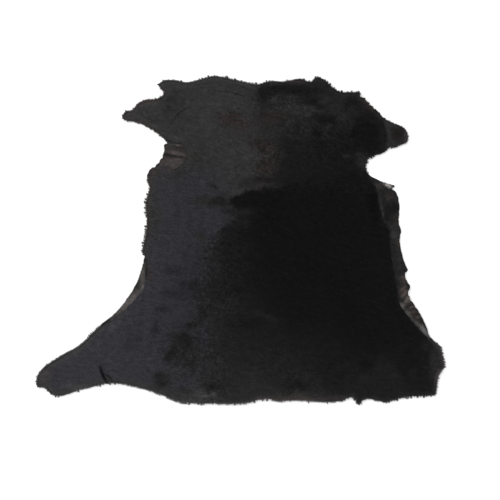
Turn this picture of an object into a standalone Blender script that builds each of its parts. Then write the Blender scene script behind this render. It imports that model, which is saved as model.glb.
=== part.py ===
"""A whole sheepskin, dyed black and sheared short, lying flat with its wool upward.

The hide is one closed solid. A thin sheet of leather carries the wool, which is deepest on the back and rump,
shorter on the neck and legs, and missing where the leather is bare: at the left armpit, along the right flank
and along the left thigh. The cut edge follows the animal: neck at the far end, forelegs at the shoulders and
hind legs at the near corners. Small locks of wool stand past the cut edge, and the loose leather at the edge
lifts off the ground in low ruffles.

Lengths are in millimetres up to the mesh, which is in metres. X runs across the hide to the right, Y from
rump to neck and Z up. The origin is on the ground under the middle of the hide.
"""

import math
import random
from typing import NamedTuple

import bmesh
import bpy
import numpy as np
from mathutils import Vector, noise
from mathutils.geometry import delaunay_2d_cdt

# Driving dimensions, in millimetres

METRES = 0.001
LEATHER = 2.0
WOOL_ROUNDING = 14.0
BARE_STEP = 8.0
BARE_AT_LEAST = 4.0
LIFT_BAND = 45.0
LIFT_FLOOR = 0.05

WOOLLY_EDGE_STEP = 6.3
BARE_EDGE_STEP = 9.0
LOCK_ROOT = 0.35
LOCK_SHARE_LOW = 0.2
LOCK_SHARE_HIGH = 1.4
LOCK_SWAY = 1.4
LOCK_TIP_LOW = 0.2
LOCK_TIP_HIGH = 3.2
EDGE_ROUGHNESS = 0.7
EDGE_ROUGHNESS_LENGTH = 17.0

GRID_STEP = 20.0
GRID_JITTER = 4.0
GROUND_GRID_EVERY = 3
SHOULDER_INSET = 5.0
GRID_CLEAR_OF_EDGE = 11.0
POINTS_APART = 4.5
FOLD_POINTS_APART = 10.0
WOOL_LINE_SEARCH = 80.0
WOOL_LINE_STEP = 0.5

LUMP_HEIGHT = 2.2
LUMP_LENGTH = 70.0
TUFT_HEIGHT = 1.5
TUFT_LENGTH = 30.0
EDGE_BLEND = 12.0

SEED = 11
EDGE_LAYER = 0.3
LUMP_LAYER = 1.3
TUFT_LAYER = 2.3
TINY = 1e-6
INSIDE_ONLY = 1
SHARP_ANGLE = 60.0

# Colour and finish of the dyed wool

BLACK_WOOL = (0.012, 0.012, 0.014, 1.0)
WOOL_ROUGHNESS = 0.95

SOFT = "soft"
SHARP = "sharp"


class Mark(NamedTuple):
    """A place on the cut edge: where it is, how the edge turns there and what the hide does beside it."""

    x: float
    y: float
    turn: str
    locks: float
    bare: float
    lift: float


class WoolDepth(NamedTuple):
    """The wool's depth about one place of the hide, and how far that depth reaches."""

    x: float
    y: float
    reach: float
    depth: float


class BarePatch(NamedTuple):
    """An oval of bare leather inside the hide."""

    x: float
    y: float
    half_length: float
    half_width: float


class Fold(NamedTuple):
    """A soft ridge or trough along a bowed line. A ridge's height is above 0, and a trough's is below."""

    x0: float
    y0: float
    x1: float
    y1: float
    bow: float
    half_width: float
    height: float
    opens_at_edge: bool


# The cut edge, anticlockwise from the tip of the left hind leg. Columns: x and y of the place, how the edge
# turns, length of the locks past the edge, width of bare leather inside it, height of the leather's lift.

LEFT_HIND_LEG = (
    Mark(-562, -384, SOFT, 2, 2, 3),
    Mark(-559, -404, SHARP, 2, 0, 4),
    Mark(-541, -406, SOFT, 1, 0, 3),
    Mark(-513, -428, SOFT, 1, 0, 2),
    Mark(-431, -410, SOFT, 2, 0, 1),
    Mark(-356, -394, SOFT, 2, 0, 3),
    Mark(-260, -412, SOFT, 3, 0, 1),
)
RUMP = (
    Mark(-208, -430, SOFT, 4, 0, 0),
    Mark(-183, -442, SOFT, 4, 0, 0),
    Mark(-128, -450, SOFT, 4, 0, 0),
    Mark(-70, -450, SOFT, 4, 0, 1),
    Mark(12, -449, SOFT, 3, 0, 2),
    Mark(73, -437, SOFT, 3, 0, 1),
    Mark(102, -443, SOFT, 3, 0, 1),
    Mark(155, -441, SOFT, 3, 0, 0),
    Mark(257, -445, SOFT, 3, 0, 0),
    Mark(290, -437, SOFT, 3, 0, 1),
    Mark(306, -431, SHARP, 2, 0, 2),
    Mark(320, -448, SHARP, 4, 0, 2),
    Mark(331, -449, SHARP, 4, 0, 2),
    Mark(339, -439, SOFT, 3, 0, 1),
    Mark(392, -445, SOFT, 3, 0, 0),
    Mark(416, -442, SOFT, 3, 0, 0),
    Mark(449, -433, SOFT, 3, 0, 1),
)
RIGHT_HIND_LEG = (
    Mark(532, -428, SHARP, 2, 0, 2),
    Mark(538, -415, SOFT, 3, 0, 3),
    Mark(546, -373, SOFT, 3, 0, 2),
    Mark(562, -349, SHARP, 3, 0, 2),
    Mark(560, -329, SOFT, 3, 0, 2),
    Mark(551, -291, SHARP, 2, 0, 3),
    Mark(520, -266, SHARP, 0, 5, 5),
)
RIGHT_FLANK = (
    Mark(503, -222, SOFT, 0, 20, 6),
    Mark(482, -186, SOFT, 0, 28, 7),
    Mark(460, -148, SOFT, 0, 32, 6),
    Mark(465, -126, SHARP, 0, 32, 5),
    Mark(451, -96, SOFT, 0, 27, 4),
    Mark(459, -82, SHARP, 0, 28, 4),
    Mark(448, -54, SOFT, 1, 27, 3),
    Mark(437, 3, SOFT, 1, 24, 2),
    Mark(441, 25, SOFT, 1, 26, 3),
    Mark(435, 47, SOFT, 1, 32, 2),
    Mark(436, 97, SOFT, 1, 46, 2),
    Mark(426, 133, SOFT, 1, 46, 3),
    Mark(416, 141, SHARP, 0, 40, 4),
    Mark(423, 149, SHARP, 0, 40, 5),
    Mark(372, 168, SOFT, 0, 14, 3),
    Mark(349, 185, SOFT, 2, 2, 1),
)
RIGHT_FORELEG = (
    Mark(346, 210, SOFT, 2, 0, 1),
    Mark(353, 224, SOFT, 2, 0, 1),
    Mark(397, 241, SOFT, 1, 0, 2),
    Mark(408, 254, SHARP, 1, 2, 3),
    Mark(422, 252, SHARP, 2, 3, 3),
    Mark(458, 268, SHARP, 1, 4, 4),
    Mark(462, 281, SOFT, 1, 5, 5),
    Mark(454, 303, SOFT, 1, 6, 5),
    Mark(400, 333, SOFT, 1, 8, 3),
    Mark(364, 367, SOFT, 2, 2, 2),
)
NECK = (
    Mark(354, 372, SHARP, 2, 0, 2),
    Mark(342, 391, SHARP, 3, 0, 3),
    Mark(331, 394, SHARP, 3, 0, 3),
    Mark(328, 408, SHARP, 2, 0, 4),
    Mark(271, 410, SOFT, 1, 0, 2),
    Mark(218, 447, SOFT, 1, 0, 4),
    Mark(207, 447, SOFT, 1, 0, 4),
    Mark(194, 436, SOFT, 1, 0, 2),
    Mark(163, 445, SOFT, 1, 0, 3),
    Mark(122, 437, SOFT, 2, 0, 1),
    Mark(78, 438, SOFT, 2, 0, 2),
    Mark(48, 430, SOFT, 2, 0, 1),
    Mark(-15, 442, SOFT, 1, 0, 2),
    Mark(-73, 452, SOFT, 1, 0, 4),
    Mark(-112, 443, SOFT, 1, 0, 2),
    Mark(-142, 435, SOFT, 1, 0, 1),
    Mark(-186, 441, SOFT, 1, 0, 3),
    Mark(-213, 439, SOFT, 2, 0, 4),
)
LEFT_FORELEG = (
    Mark(-230, 427, SHARP, 2, 0, 4),
    Mark(-211, 405, SHARP, 1, 0, 2),
    Mark(-216, 397, SOFT, 1, 0, 2),
    Mark(-233, 389, SOFT, 1, 0, 3),
    Mark(-260, 387, SOFT, 1, 0, 4),
    Mark(-282, 376, SOFT, 1, 0, 3),
    Mark(-299, 357, SHARP, 1, 0, 2),
    Mark(-315, 357, SHARP, 1, 3, 4),
    Mark(-326, 336, SOFT, 1, 5, 6),
    Mark(-315, 327, SOFT, 1, 5, 5),
    Mark(-290, 323, SOFT, 0, 4, 3),
    Mark(-249, 306, SOFT, 0, 5, 2),
    Mark(-222, 287, SOFT, 0, 6, 3),
    Mark(-201, 267, SHARP, 0, 6, 5),
)
LEFT_FLANK = (
    Mark(-211, 262, SHARP, 0, 20, 6),
    Mark(-210, 243, SOFT, 0, 30, 7),
    Mark(-226, 212, SOFT, 1, 30, 4),
    Mark(-238, 200, SHARP, 1, 16, 3),
    Mark(-251, 193, SOFT, 2, 6, 2),
    Mark(-258, 166, SOFT, 3, 0, 1),
    Mark(-251, 144, SHARP, 2, 0, 1),
    Mark(-262, 102, SOFT, 3, 0, 1),
    Mark(-259, 39, SOFT, 4, 0, 1),
    Mark(-272, -32, SHARP, 2, 0, 2),
    Mark(-263, -46, SHARP, 0, 4, 3),
    Mark(-281, -107, SOFT, 0, 14, 4),
    Mark(-303, -148, SOFT, 0, 17, 4),
    Mark(-343, -198, SOFT, 0, 11, 3),
    Mark(-395, -241, SOFT, 0, 6, 2),
    Mark(-439, -284, SOFT, 0, 4, 2),
    Mark(-493, -316, SOFT, 0, 3, 2),
    Mark(-552, -359, SOFT, 1, 2, 3),
)
CUT_EDGE = (
    LEFT_HIND_LEG + RUMP + RIGHT_HIND_LEG + RIGHT_FLANK + RIGHT_FORELEG + NECK + LEFT_FORELEG + LEFT_FLANK
)

# Wool depth by region. Columns: x and y of the region's middle, its reach, the depth there.

WOOL = {
    "back": WoolDepth(60, -40, 260, 11),
    "rump": WoolDepth(60, -330, 240, 11.5),
    "shoulders": WoolDepth(40, 220, 200, 10),
    "neck": WoolDepth(60, 400, 110, 7),
    "left foreleg": WoolDepth(-270, 350, 80, 4),
    "right foreleg": WoolDepth(420, 290, 70, 4),
    "left flank": WoolDepth(-230, 20, 100, 8),
    "right flank": WoolDepth(400, -60, 80, 8),
    "left hind leg": WoolDepth(-470, -360, 130, 6),
    "right hind leg": WoolDepth(480, -340, 110, 9),
}
BARE_ARMPIT = BarePatch(-191, 229, 44, 38)

# Ridges where the loose leather leaves the ground, with the wool on it. Columns: start, end, bow to the left
# of the way from start to end, half width, height, and whether the end is open at the cut edge.

RUFFLES = {
    "upper right flank": Fold(431, -112, 458, -133, 2, 8, 3.5, True),
    "middle right flank": Fold(436, -180, 464, -156, 3, 9, 6.0, True),
    "lower right flank": Fold(456, -216, 486, -197, 3, 9, 7.0, True),
    "right thigh": Fold(486, -250, 512, -236, 2, 9, 5.0, True),
    "upper left armpit": Fold(-150, 259, -203, 264, 2, 7, 3.5, True),
    "middle left armpit": Fold(-144, 240, -211, 245, -3, 9, 6.5, True),
    "lower left armpit": Fold(-168, 208, -226, 213, 3, 9, 3.0, True),
    "left thigh": Fold(-270, -132, -296, -140, 1, 8, 2.5, True),
}

# Troughs in the wool alone, over leather that stays on the ground.

CREASES = {
    "long neck wrinkle": Fold(-80, 411, 14, 393, 5, 6, -2.0, False),
    "short neck wrinkle": Fold(-26, 431, 28, 408, 3, 5, -1.4, False),
    "left shoulder": Fold(-192, 315, -134, 368, 9, 7, -2.0, False),
    "left foreleg": Fold(-281, 366, -252, 331, -6, 6, -1.4, False),
    "right foreleg": Fold(392, 341, 416, 256, 9, 7, -2.2, False),
    "left hind leg": Fold(-386, -340, -366, -392, -5, 7, -3.4, False),
    "nap edge": Fold(-44, 108, 60, 146, 8, 9, -1.4, False),
    "left thigh parting": Fold(-117, -142, -156, -218, -9, 13, -1.8, False),
    "left rump parting": Fold(-139, -258, -204, -364, 12, 14, -2.2, False),
}


class Edge(NamedTuple):
    """The cut edge as even short steps, with the hide's measures at each point."""

    points: np.ndarray
    normals: np.ndarray
    locks: np.ndarray
    bare: np.ndarray
    lift: np.ndarray


def clear_scene():
    """Remove every object, so that the model stands alone."""
    for thing in list(bpy.data.objects):
        bpy.data.objects.remove(thing, do_unlink=True)


def smooth_step(share):
    """Ease from 0 to 1 as share goes from 0 to 1."""
    share = np.clip(share, 0.0, 1.0)
    return share * share * (3.0 - 2.0 * share)


def unit(step):
    """The unit vector along a step."""
    return step / float(np.linalg.norm(step))


def edge_between(before, start, end, after):
    """Points and measures from the mark start up to, but not with, the mark end."""
    marks = (before, start, end, after)
    p_before, p_start, p_end, p_after = (np.array((mark.x, mark.y), float) for mark in marks)
    chord = float(np.linalg.norm(p_end - p_start))
    straight = unit(p_end - p_start)
    leave = unit(unit(p_start - p_before) + straight) if start.turn == SOFT else straight
    arrive = unit(straight + unit(p_after - p_end)) if end.turn == SOFT else straight
    woolly = start.locks + end.locks > 0
    count = max(1, round(chord / (WOOLLY_EDGE_STEP if woolly else BARE_EDGE_STEP)))
    rows = []
    for share in np.arange(count) / count:
        eased = float(smooth_step(share))
        place = (
            p_start * (1.0 - eased)
            + p_end * eased
            + leave * chord * share * (1.0 - share) ** 2
            - arrive * chord * share**2 * (1.0 - share)
        )
        measures = [low + (high - low) * eased for low, high in zip(start[3:], end[3:])]
        rows.append((*place, *measures))
    return rows


def unevenness(points, length, layer):
    """Smooth noise from -1 to 1 with lumps of about the given length. Each layer is another pattern."""
    return np.array([noise.noise(Vector((*point, layer * length)) / length) for point in points])


def cut_edge():
    """The whole cut edge, anticlockwise."""
    rows = []
    total = len(CUT_EDGE)
    for index in range(total):
        near = [CUT_EDGE[(index + step) % total] for step in (-1, 0, 1, 2)]
        rows.extend(edge_between(*near))
    table = np.array(rows)
    points = table[:, :2]
    along = np.roll(points, -1, axis=0) - np.roll(points, 1, axis=0)
    along /= np.linalg.norm(along, axis=1)[:, None]
    normals = np.stack((along[:, 1], -along[:, 0]), axis=1)
    rough = EDGE_ROUGHNESS * unevenness(points, EDGE_ROUGHNESS_LENGTH, EDGE_LAYER)
    return Edge(points + normals * rough[:, None], normals, table[:, 2], table[:, 3], table[:, 4])


def distance_to_edge(points, edge):
    """Shortest distance from each point to the cut edge."""
    start = edge.points[None, :, :]
    along = np.roll(edge.points, -1, axis=0)[None, :, :] - start
    away = points[:, None, :] - start
    share = (away * along).sum(2) / (along * along).sum(2)
    gap = away - along * np.clip(share, 0.0, 1.0)[:, :, None]
    return np.sqrt((gap * gap).sum(2)).min(1)


def near_edge(points, edge, measure):
    """A measure of the cut edge, carried inward and blended over neighbouring edge points."""
    away = points[:, None, :] - edge.points[None, :, :]
    squares = (away * away).sum(2)
    weight = np.exp(-(squares - squares.min(1)[:, None]) / (2.0 * EDGE_BLEND**2))
    return (weight * measure[None, :]).sum(1) / weight.sum(1)


def fold_frame(fold):
    """Start, unit vector along, unit vector to the left, and length of a fold."""
    start = np.array((fold.x0, fold.y0), float)
    end = np.array((fold.x1, fold.y1), float)
    along = unit(end - start)
    return start, along, np.array((-along[1], along[0])), float(np.linalg.norm(end - start))


def fold_bow(fold, share):
    """How far the fold's line stands to the left of its chord."""
    return fold.bow * 4.0 * share * (1.0 - share)


def fold_height(points, fold):
    """Height that one fold adds at each point."""
    start, along, left, length = fold_frame(fold)
    run = (points - start) @ along
    share = np.clip(run / length, 0.0, 1.0)
    side = (points - start) @ left - fold_bow(fold, share)
    past = run - share * length
    if fold.opens_at_edge:
        past = np.minimum(past, 0.0)
        grow = smooth_step(share)
    else:
        grow = np.sqrt(np.sin(math.pi * share))
    return fold.height * grow * (1.0 - smooth_step(np.hypot(side, past) / fold.half_width))


def leather_lift(points, edge, distance):
    """Height of the leather's underside above the ground."""
    fade = 1.0 - smooth_step(distance / LIFT_BAND)
    lift = near_edge(points, edge, edge.lift) * fade
    for fold in RUFFLES.values():
        lift = lift + fold_height(points, fold)
    return np.where(lift < LIFT_FLOOR, 0.0, lift)


def past_bare(points, edge, distance):
    """How far each point lies past the bare leather. The wool is full from BARE_STEP on."""
    bare = near_edge(points, edge, edge.bare)
    past_strip = distance - bare + BARE_STEP * (1.0 - smooth_step(bare / BARE_AT_LEAST))
    oval_x = (points[:, 0] - BARE_ARMPIT.x) / BARE_ARMPIT.half_length
    oval_y = (points[:, 1] - BARE_ARMPIT.y) / BARE_ARMPIT.half_width
    past_oval = (np.hypot(oval_x, oval_y) - 1.0) * BARE_ARMPIT.half_width
    return np.minimum(past_strip, past_oval)


def wool_depth(points, edge, distance):
    """Depth of the wool over the leather, with its rounding at the edge and its bare places."""
    depth = np.zeros(len(points))
    weight = np.zeros(len(points))
    for region in WOOL.values():
        square = (points[:, 0] - region.x) ** 2 + (points[:, 1] - region.y) ** 2
        share = np.exp(-square / (2.0 * region.reach**2)) + TINY
        depth += share * region.depth
        weight += share
    inward = 1.0 - np.clip(distance / WOOL_ROUNDING, 0.0, 1.0)
    cover = smooth_step(past_bare(points, edge, distance) / BARE_STEP)
    return depth / weight * cover * np.sqrt(1.0 - inward * inward)


def wool_relief(points):
    """Low lumps of the wool's surface, as a share that is scaled by how much wool there is."""
    lumps = LUMP_HEIGHT * unevenness(points, LUMP_LENGTH, LUMP_LAYER)
    return lumps + TUFT_HEIGHT * unevenness(points, TUFT_LENGTH, TUFT_LAYER)


def top_height(points, edge, distance):
    """Height of the hide's upper face above the ground."""
    wool = wool_depth(points, edge, distance)
    cover = wool / max(region.depth for region in WOOL.values())
    surface = wool + wool_relief(points) * cover
    for fold in CREASES.values():
        surface = surface + fold_height(points, fold) * smooth_step(3.0 * cover)
    return leather_lift(points, edge, distance) + LEATHER + np.maximum(surface, 0.0)


def inside(points, loop):
    """Whether each point lies inside a closed loop of points."""
    found = np.zeros(len(points), bool)
    for start, end in zip(loop, np.roll(loop, -1, axis=0)):
        spans = (start[1] > points[:, 1]) != (end[1] > points[:, 1])
        rise = end[1] - start[1] if end[1] != start[1] else 1.0
        crossing = (end[0] - start[0]) * (points[:, 1] - start[1]) / rise + start[0]
        found ^= spans & (points[:, 0] < crossing)
    return found


def fold_points():
    """Points along each fold's line and on both its sides, so that the faces follow it."""
    rows = []
    for fold in (*RUFFLES.values(), *CREASES.values()):
        start, along, left, length = fold_frame(fold)
        steps = max(2, round(length / FOLD_POINTS_APART))
        for share in np.arange(steps + 1) / steps:
            middle = start + along * length * share + left * fold_bow(fold, share)
            rows.extend((middle, middle + left * fold.half_width, middle - left * fold.half_width))
    return np.array(rows)


def wool_line_points(edge):
    """Points along the foot and the top of the wool where it begins beside bare leather."""
    lines = []
    depths = np.arange(WOOL_LINE_STEP, WOOL_LINE_SEARCH, WOOL_LINE_STEP)
    for place, normal, bare in zip(edge.points, edge.normals, edge.bare):
        if bare < BARE_AT_LEAST:
            continue
        ray = place - normal * depths[:, None]
        past = past_bare(ray, edge, distance_to_edge(ray, edge))
        for level in (0.0, BARE_STEP):
            reached = np.flatnonzero(past >= level)
            if len(reached):
                lines.append(ray[reached[0]])
    return np.array(lines)


def shoulder_points(edge):
    """Points just inside the cut edge, where the wool rounds over."""
    return edge.points - edge.normals * SHOULDER_INSET


def grid_points(edge):
    """An uneven triangular grid over the hide, and which of its points are the coarse ones."""
    draw = random.Random(SEED)
    low = edge.points.min(0)
    high = edge.points.max(0)
    rise = GRID_STEP * math.sqrt(3.0) / 2.0
    places = []
    coarse = []
    for row in range(int((high[1] - low[1]) / rise) + 1):
        for column in range(int((high[0] - low[0]) / GRID_STEP) + 1):
            x = low[0] + (column + 0.5 * (row % 2)) * GRID_STEP + draw.uniform(-GRID_JITTER, GRID_JITTER)
            y = low[1] + row * rise + draw.uniform(-GRID_JITTER, GRID_JITTER)
            places.append((x, y))
            coarse.append(row % GROUND_GRID_EVERY == 0 and column % GROUND_GRID_EVERY == 0)
    return np.array(places), np.array(coarse)


def thinned(groups, loop, edge):
    """Points of all groups in order, leaving out those outside, at the edge or too near a kept one."""
    kept = []
    for points, clear_of_edge, apart in groups:
        points = points[inside(points, loop)]
        points = points[distance_to_edge(points, edge) > clear_of_edge]
        for point in points:
            if not kept or min(np.linalg.norm(np.array(kept) - point, axis=1)) > apart:
                kept.append(point)
    return np.array(kept)


def lock_loops(edge):
    """The leather's edge, the edge with its locks, and the height of that edge over the leather."""
    draw = random.Random(SEED)
    leather = edge.points - edge.normals * (LOCK_ROOT * edge.locks)[:, None]
    along = np.stack((-edge.normals[:, 1], edge.normals[:, 0]), axis=1)
    locks = leather.copy()
    height = np.zeros(len(locks))
    for index in range(1, len(locks), 2):
        reach = edge.locks[index] * (LOCK_ROOT + draw.uniform(LOCK_SHARE_LOW, LOCK_SHARE_HIGH))
        sway = min(edge.locks[index], 1.0) * draw.uniform(-LOCK_SWAY, LOCK_SWAY)
        locks[index] += edge.normals[index] * reach + along[index] * sway
        height[index] = min(edge.locks[index], 1.0) * draw.uniform(LOCK_TIP_LOW, LOCK_TIP_HIGH)
    return leather, locks, height


def triangles_within(loop, points):
    """Triangles that fill a loop through the points inside it, as places and index triples."""
    places = [Vector(place) for place in (*loop, *points)]
    _, _, faces, origins, *_ = delaunay_2d_cdt(places, [], [list(range(len(loop)))], INSIDE_ONLY, TINY)
    corners = [[origins[vertex][0] for vertex in face] for face in faces]
    return np.concatenate((loop, points)), corners


def in_metres(places, heights):
    """Places on the ground and their heights as points in metres."""
    return np.column_stack((places, heights)) * METRES


def hide_mesh():
    """The closed mesh of the hide, in metres, with its bounding box centred over the origin."""
    edge = cut_edge()
    leather, locks, lock_height = lock_loops(edge)
    grid, coarse = grid_points(edge)
    folds = fold_points()
    groups = (
        (wool_line_points(edge), POINTS_APART, POINTS_APART),
        (folds, POINTS_APART, POINTS_APART),
        (shoulder_points(edge), SHOULDER_INSET - 1.0, POINTS_APART),
        (grid, GRID_CLEAR_OF_EDGE, GRID_CLEAR_OF_EDGE),
    )
    upper = thinned(groups, leather, edge)
    gap = distance_to_edge(upper, edge)
    lifted = leather_lift(upper, edge, gap) > 0.0
    thin = wool_depth(upper, edge, gap) < LEATHER
    near_fold = np.array([min(np.linalg.norm(folds - point, axis=1)) < GRID_STEP for point in upper])
    shared = upper[lifted & (thin | near_fold | (gap > GRID_CLEAR_OF_EDGE))]
    lower = thinned(((shared, 0.0, 0.0), (grid[coarse], LIFT_BAND, GRID_CLEAR_OF_EDGE)), leather, edge)

    top_places, top_corners = triangles_within(locks, upper)
    ground_places, ground_corners = triangles_within(leather, lower)
    edge_lift = leather_lift(edge.points, edge, np.zeros(len(edge.points)))
    top_z = np.concatenate((edge_lift + LEATHER + lock_height, top_height(upper, edge, gap)))
    ground_z = np.concatenate((edge_lift, leather_lift(lower, edge, distance_to_edge(lower, edge))))

    middle = (top_places.min(0) + top_places.max(0)) / 2.0
    bm = bmesh.new()
    top = [bm.verts.new(place) for place in in_metres(top_places - middle, top_z)]
    ground = [bm.verts.new(place) for place in in_metres(ground_places - middle, ground_z)]
    for corners in top_corners:
        bm.faces.new([top[corner] for corner in corners])
    for corners in ground_corners:
        bm.faces.new([ground[corner] for corner in reversed(corners)])
    total = len(leather)
    for here in range(total):
        there = (here + 1) % total
        bm.faces.new((ground[here], ground[there], top[there]))
        bm.faces.new((ground[here], top[there], top[here]))
    mesh = bpy.data.meshes.new("sheepskin")
    bm.to_mesh(mesh)
    bm.free()
    return mesh


def wool_material():
    """Black dyed wool, matt."""
    material = bpy.data.materials.new("black wool")
    material.use_nodes = True
    shader = material.node_tree.nodes["Principled BSDF"]
    shader.inputs["Base Color"].default_value = BLACK_WOOL
    shader.inputs["Roughness"].default_value = WOOL_ROUGHNESS
    shader.inputs["Metallic"].default_value = 0.0
    return material


def main():
    """Build the hide."""
    clear_scene()
    mesh = hide_mesh()
    mesh.materials.append(wool_material())
    mesh.shade_smooth()
    mesh.set_sharp_from_angle(angle=math.radians(SHARP_ANGLE))
    hide = bpy.data.objects.new("sheepskin", mesh)
    bpy.context.scene.collection.objects.link(hide)


main()
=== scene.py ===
"""A whole black sheepskin, laid flat with its sheared wool upward.

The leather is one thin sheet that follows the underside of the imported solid. The wool is a dense bed that
follows the solid's upper face, with the pile's small locks on it and longer locks along the cut edge. Bare
leather shows at the left armpit, along the right flank and along the left thigh.

Sizes are in millimetres up to the meshes, which are in metres. X runs across the hide to the right, Y from
rump to neck and Z up.
"""

import logging
import math
from dataclasses import dataclass, field
from enum import Enum
from typing import NamedTuple

import bpy
import numpy as np
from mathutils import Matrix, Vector, kdtree
from mathutils.geometry import delaunay_2d_cdt


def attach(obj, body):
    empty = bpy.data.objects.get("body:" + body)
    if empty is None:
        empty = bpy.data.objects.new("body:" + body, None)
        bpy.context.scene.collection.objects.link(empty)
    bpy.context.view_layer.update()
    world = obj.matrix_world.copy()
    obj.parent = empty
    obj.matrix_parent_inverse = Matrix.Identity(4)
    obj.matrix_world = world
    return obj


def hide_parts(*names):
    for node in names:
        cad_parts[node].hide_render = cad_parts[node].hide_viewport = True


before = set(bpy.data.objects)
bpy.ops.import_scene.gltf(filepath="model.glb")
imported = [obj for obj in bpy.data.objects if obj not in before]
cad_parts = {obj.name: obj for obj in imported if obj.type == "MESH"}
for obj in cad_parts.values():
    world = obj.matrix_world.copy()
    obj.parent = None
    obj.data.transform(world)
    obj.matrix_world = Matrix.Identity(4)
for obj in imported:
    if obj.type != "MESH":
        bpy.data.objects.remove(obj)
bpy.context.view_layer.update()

log = logging.getLogger("sheepskin")

METRES = 0.001
NODE = "sheepskin"
BODY = "root"
TINY = 1e-9
WHOLE_HULL = 0
INSIDE_ONLY = 1
SOLID_LEATHER = 2.0
SCREEN_LEVELS = 255.0
SCREEN_OFFSET = 0.055
SCREEN_POWER = 2.4
PATCH_POWER = 1.5
MEAN = 0.5

Pairs = tuple[tuple[float, float], ...]
Socket = bpy.types.NodeSocket


class Slot(Enum):
    """Material slots, by name."""

    WOOL = "wool"
    LEATHER = "leather"


class Layer(Enum):
    """Which pattern of noise a feature draws from."""

    EDGE = 1
    BED = 2
    CLUMPS = 3
    LOCKS = 4
    WARP_X = 5
    WARP_Y = 6
    MOTTLE = 7
    STREAKS = 8
    SKIN = 9
    WRINKLES = 10
    WOOL_LINE = 11


class Shade(NamedTuple):
    """How light the wool looks about one place, from 0 to 255 as a screen shows it, and its tints: a painted
    sheen or painted shade of the nap.
    """

    x: float
    y: float
    reach: float
    grey: float
    blue: float = 0.0
    rust: float = 0.0


class Patch(NamedTuple):
    """An oval place that is lighter or darker than what is round it: half sizes, turn in degrees, tints."""

    x: float
    y: float
    long: float
    wide: float
    turn: float
    grey: float
    blue: float = 0.0
    rust: float = 0.0


class Crease(NamedTuple):
    """A parting, wrinkle or ridge along a bowed line: half width, depth (a ridge below 0) and darkening,
    which is painted shade along it.
    """

    x0: float
    y0: float
    x1: float
    y1: float
    bow: float
    half_width: float
    depth: float
    dark: float = 0.0


class BareOutline(NamedTuple):
    """An outline of bare leather, and how far from it the wool takes to reach its full depth."""

    soft: float
    points: Pairs


# Where the nap lies away from the light it looks light, and where it faces it the wool is nearly black. Both
# are painted into the wool's colour: painted sheen on the light side, painted shade on the dark side.

NAP_SHEEN_PAINTED = {
    "left foreleg": Shade(-225, 340, 55, 47, 0.1, 0.1),
    "left of the neck": Shade(-130, 385, 60, 48, 0.1),
    "bluish shoulder": Shade(-125, 330, 40, 49, 0.5),
    "neck": Shade(-40, 395, 50, 49),
    "left shoulder": Shade(-120, 240, 60, 48, 0.2),
    "withers": Shade(-20, 260, 50, 50, 0.1),
    "above the nap line": Shade(0, 180, 40, 49, 0.0, 0.1),
    "behind the armpit": Shade(-110, 145, 45, 49, 0.9),
    "left flank": Shade(-205, 0, 80, 50, 1.0),
    "inner flank": Shade(-120, 40, 50, 46, 1.0),
    "lower inner flank": Shade(-112, -45, 35, 40, 0.5),
    "outer flank": Shade(-228, -100, 32, 54, 0.8),
    "loin side": Shade(-165, -110, 55, 46, 1.0),
    "loin's lower side": Shade(-175, -185, 34, 50, 1.0),
    "thigh": Shade(-230, -210, 60, 51, 1.0),
    "hip": Shade(-115, -190, 45, 39, 0.6),
    "lower hip": Shade(-130, -300, 40, 43, 0.5),
    "hind leg": Shade(-360, -300, 90, 51, 1.0),
    "hind shank": Shade(-480, -370, 60, 50, 1.0, 0.1),
    "left rump": Shade(-165, -390, 38, 50, 0.5, 0.1),
    "neck's end": Shade(60, 400, 30, 40),
    "middle neck": Shade(90, 320, 40, 38, 0.0, 0.3),
    "neck's right edge": Shade(200, 425, 40, 29, 0.0, 0.1),
    "right neck": Shade(188, 350, 45, 35),
    "right shoulder": Shade(180, 260, 45, 27, 0.0, 0.1),
    "far right neck": Shade(280, 370, 40, 33),
    "behind the shoulder": Shade(200, 200, 50, 23),
    "right withers": Shade(300, 220, 50, 21),
    "right foreleg": Shade(410, 300, 25, 36, 0.0, 0.1),
}
NAP_SHADE_PAINTED = {
    "back": Shade(160, 10, 90, 18),
    "right back": Shade(330, -20, 100, 18.5),
    "beside the loin": Shade(-55, -40, 38, 31, 0.1),
    "loin's left part": Shade(0, -55, 34, 26),
    "middle loin": Shade(60, -60, 40, 20),
    "left loin": Shade(-20, -150, 50, 28),
    "loin": Shade(160, -190, 60, 20),
    "left hip": Shade(-62, -230, 38, 38, 0.1),
    "left croup": Shade(0, -255, 40, 29),
    "croup": Shade(75, -250, 35, 30),
    "right of the croup": Shade(195, -280, 38, 28),
    "left rump": Shade(-20, -345, 50, 39),
    "rump": Shade(120, -350, 50, 34),
    "middle rump": Shade(255, -340, 45, 29),
    "right croup": Shade(300, -240, 60, 18),
    "right thigh": Shade(440, -250, 50, 20),
    "right rump": Shade(385, -380, 42, 32),
    "right hind leg": Shade(490, -340, 40, 26),
    "rump's edge": Shade(40, -425, 36, 45, 0.0, 0.2),
    "rump's middle edge": Shade(160, -428, 34, 44, 0.0, 0.2),
    "right rump's edge": Shade(360, -425, 36, 31, 0.0, 0.1),
}

# The line where the nap turns, from the right flank to the rump's edge: x, y and its spread to each side. It
# parts the painted sheen from the painted shade.

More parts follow.
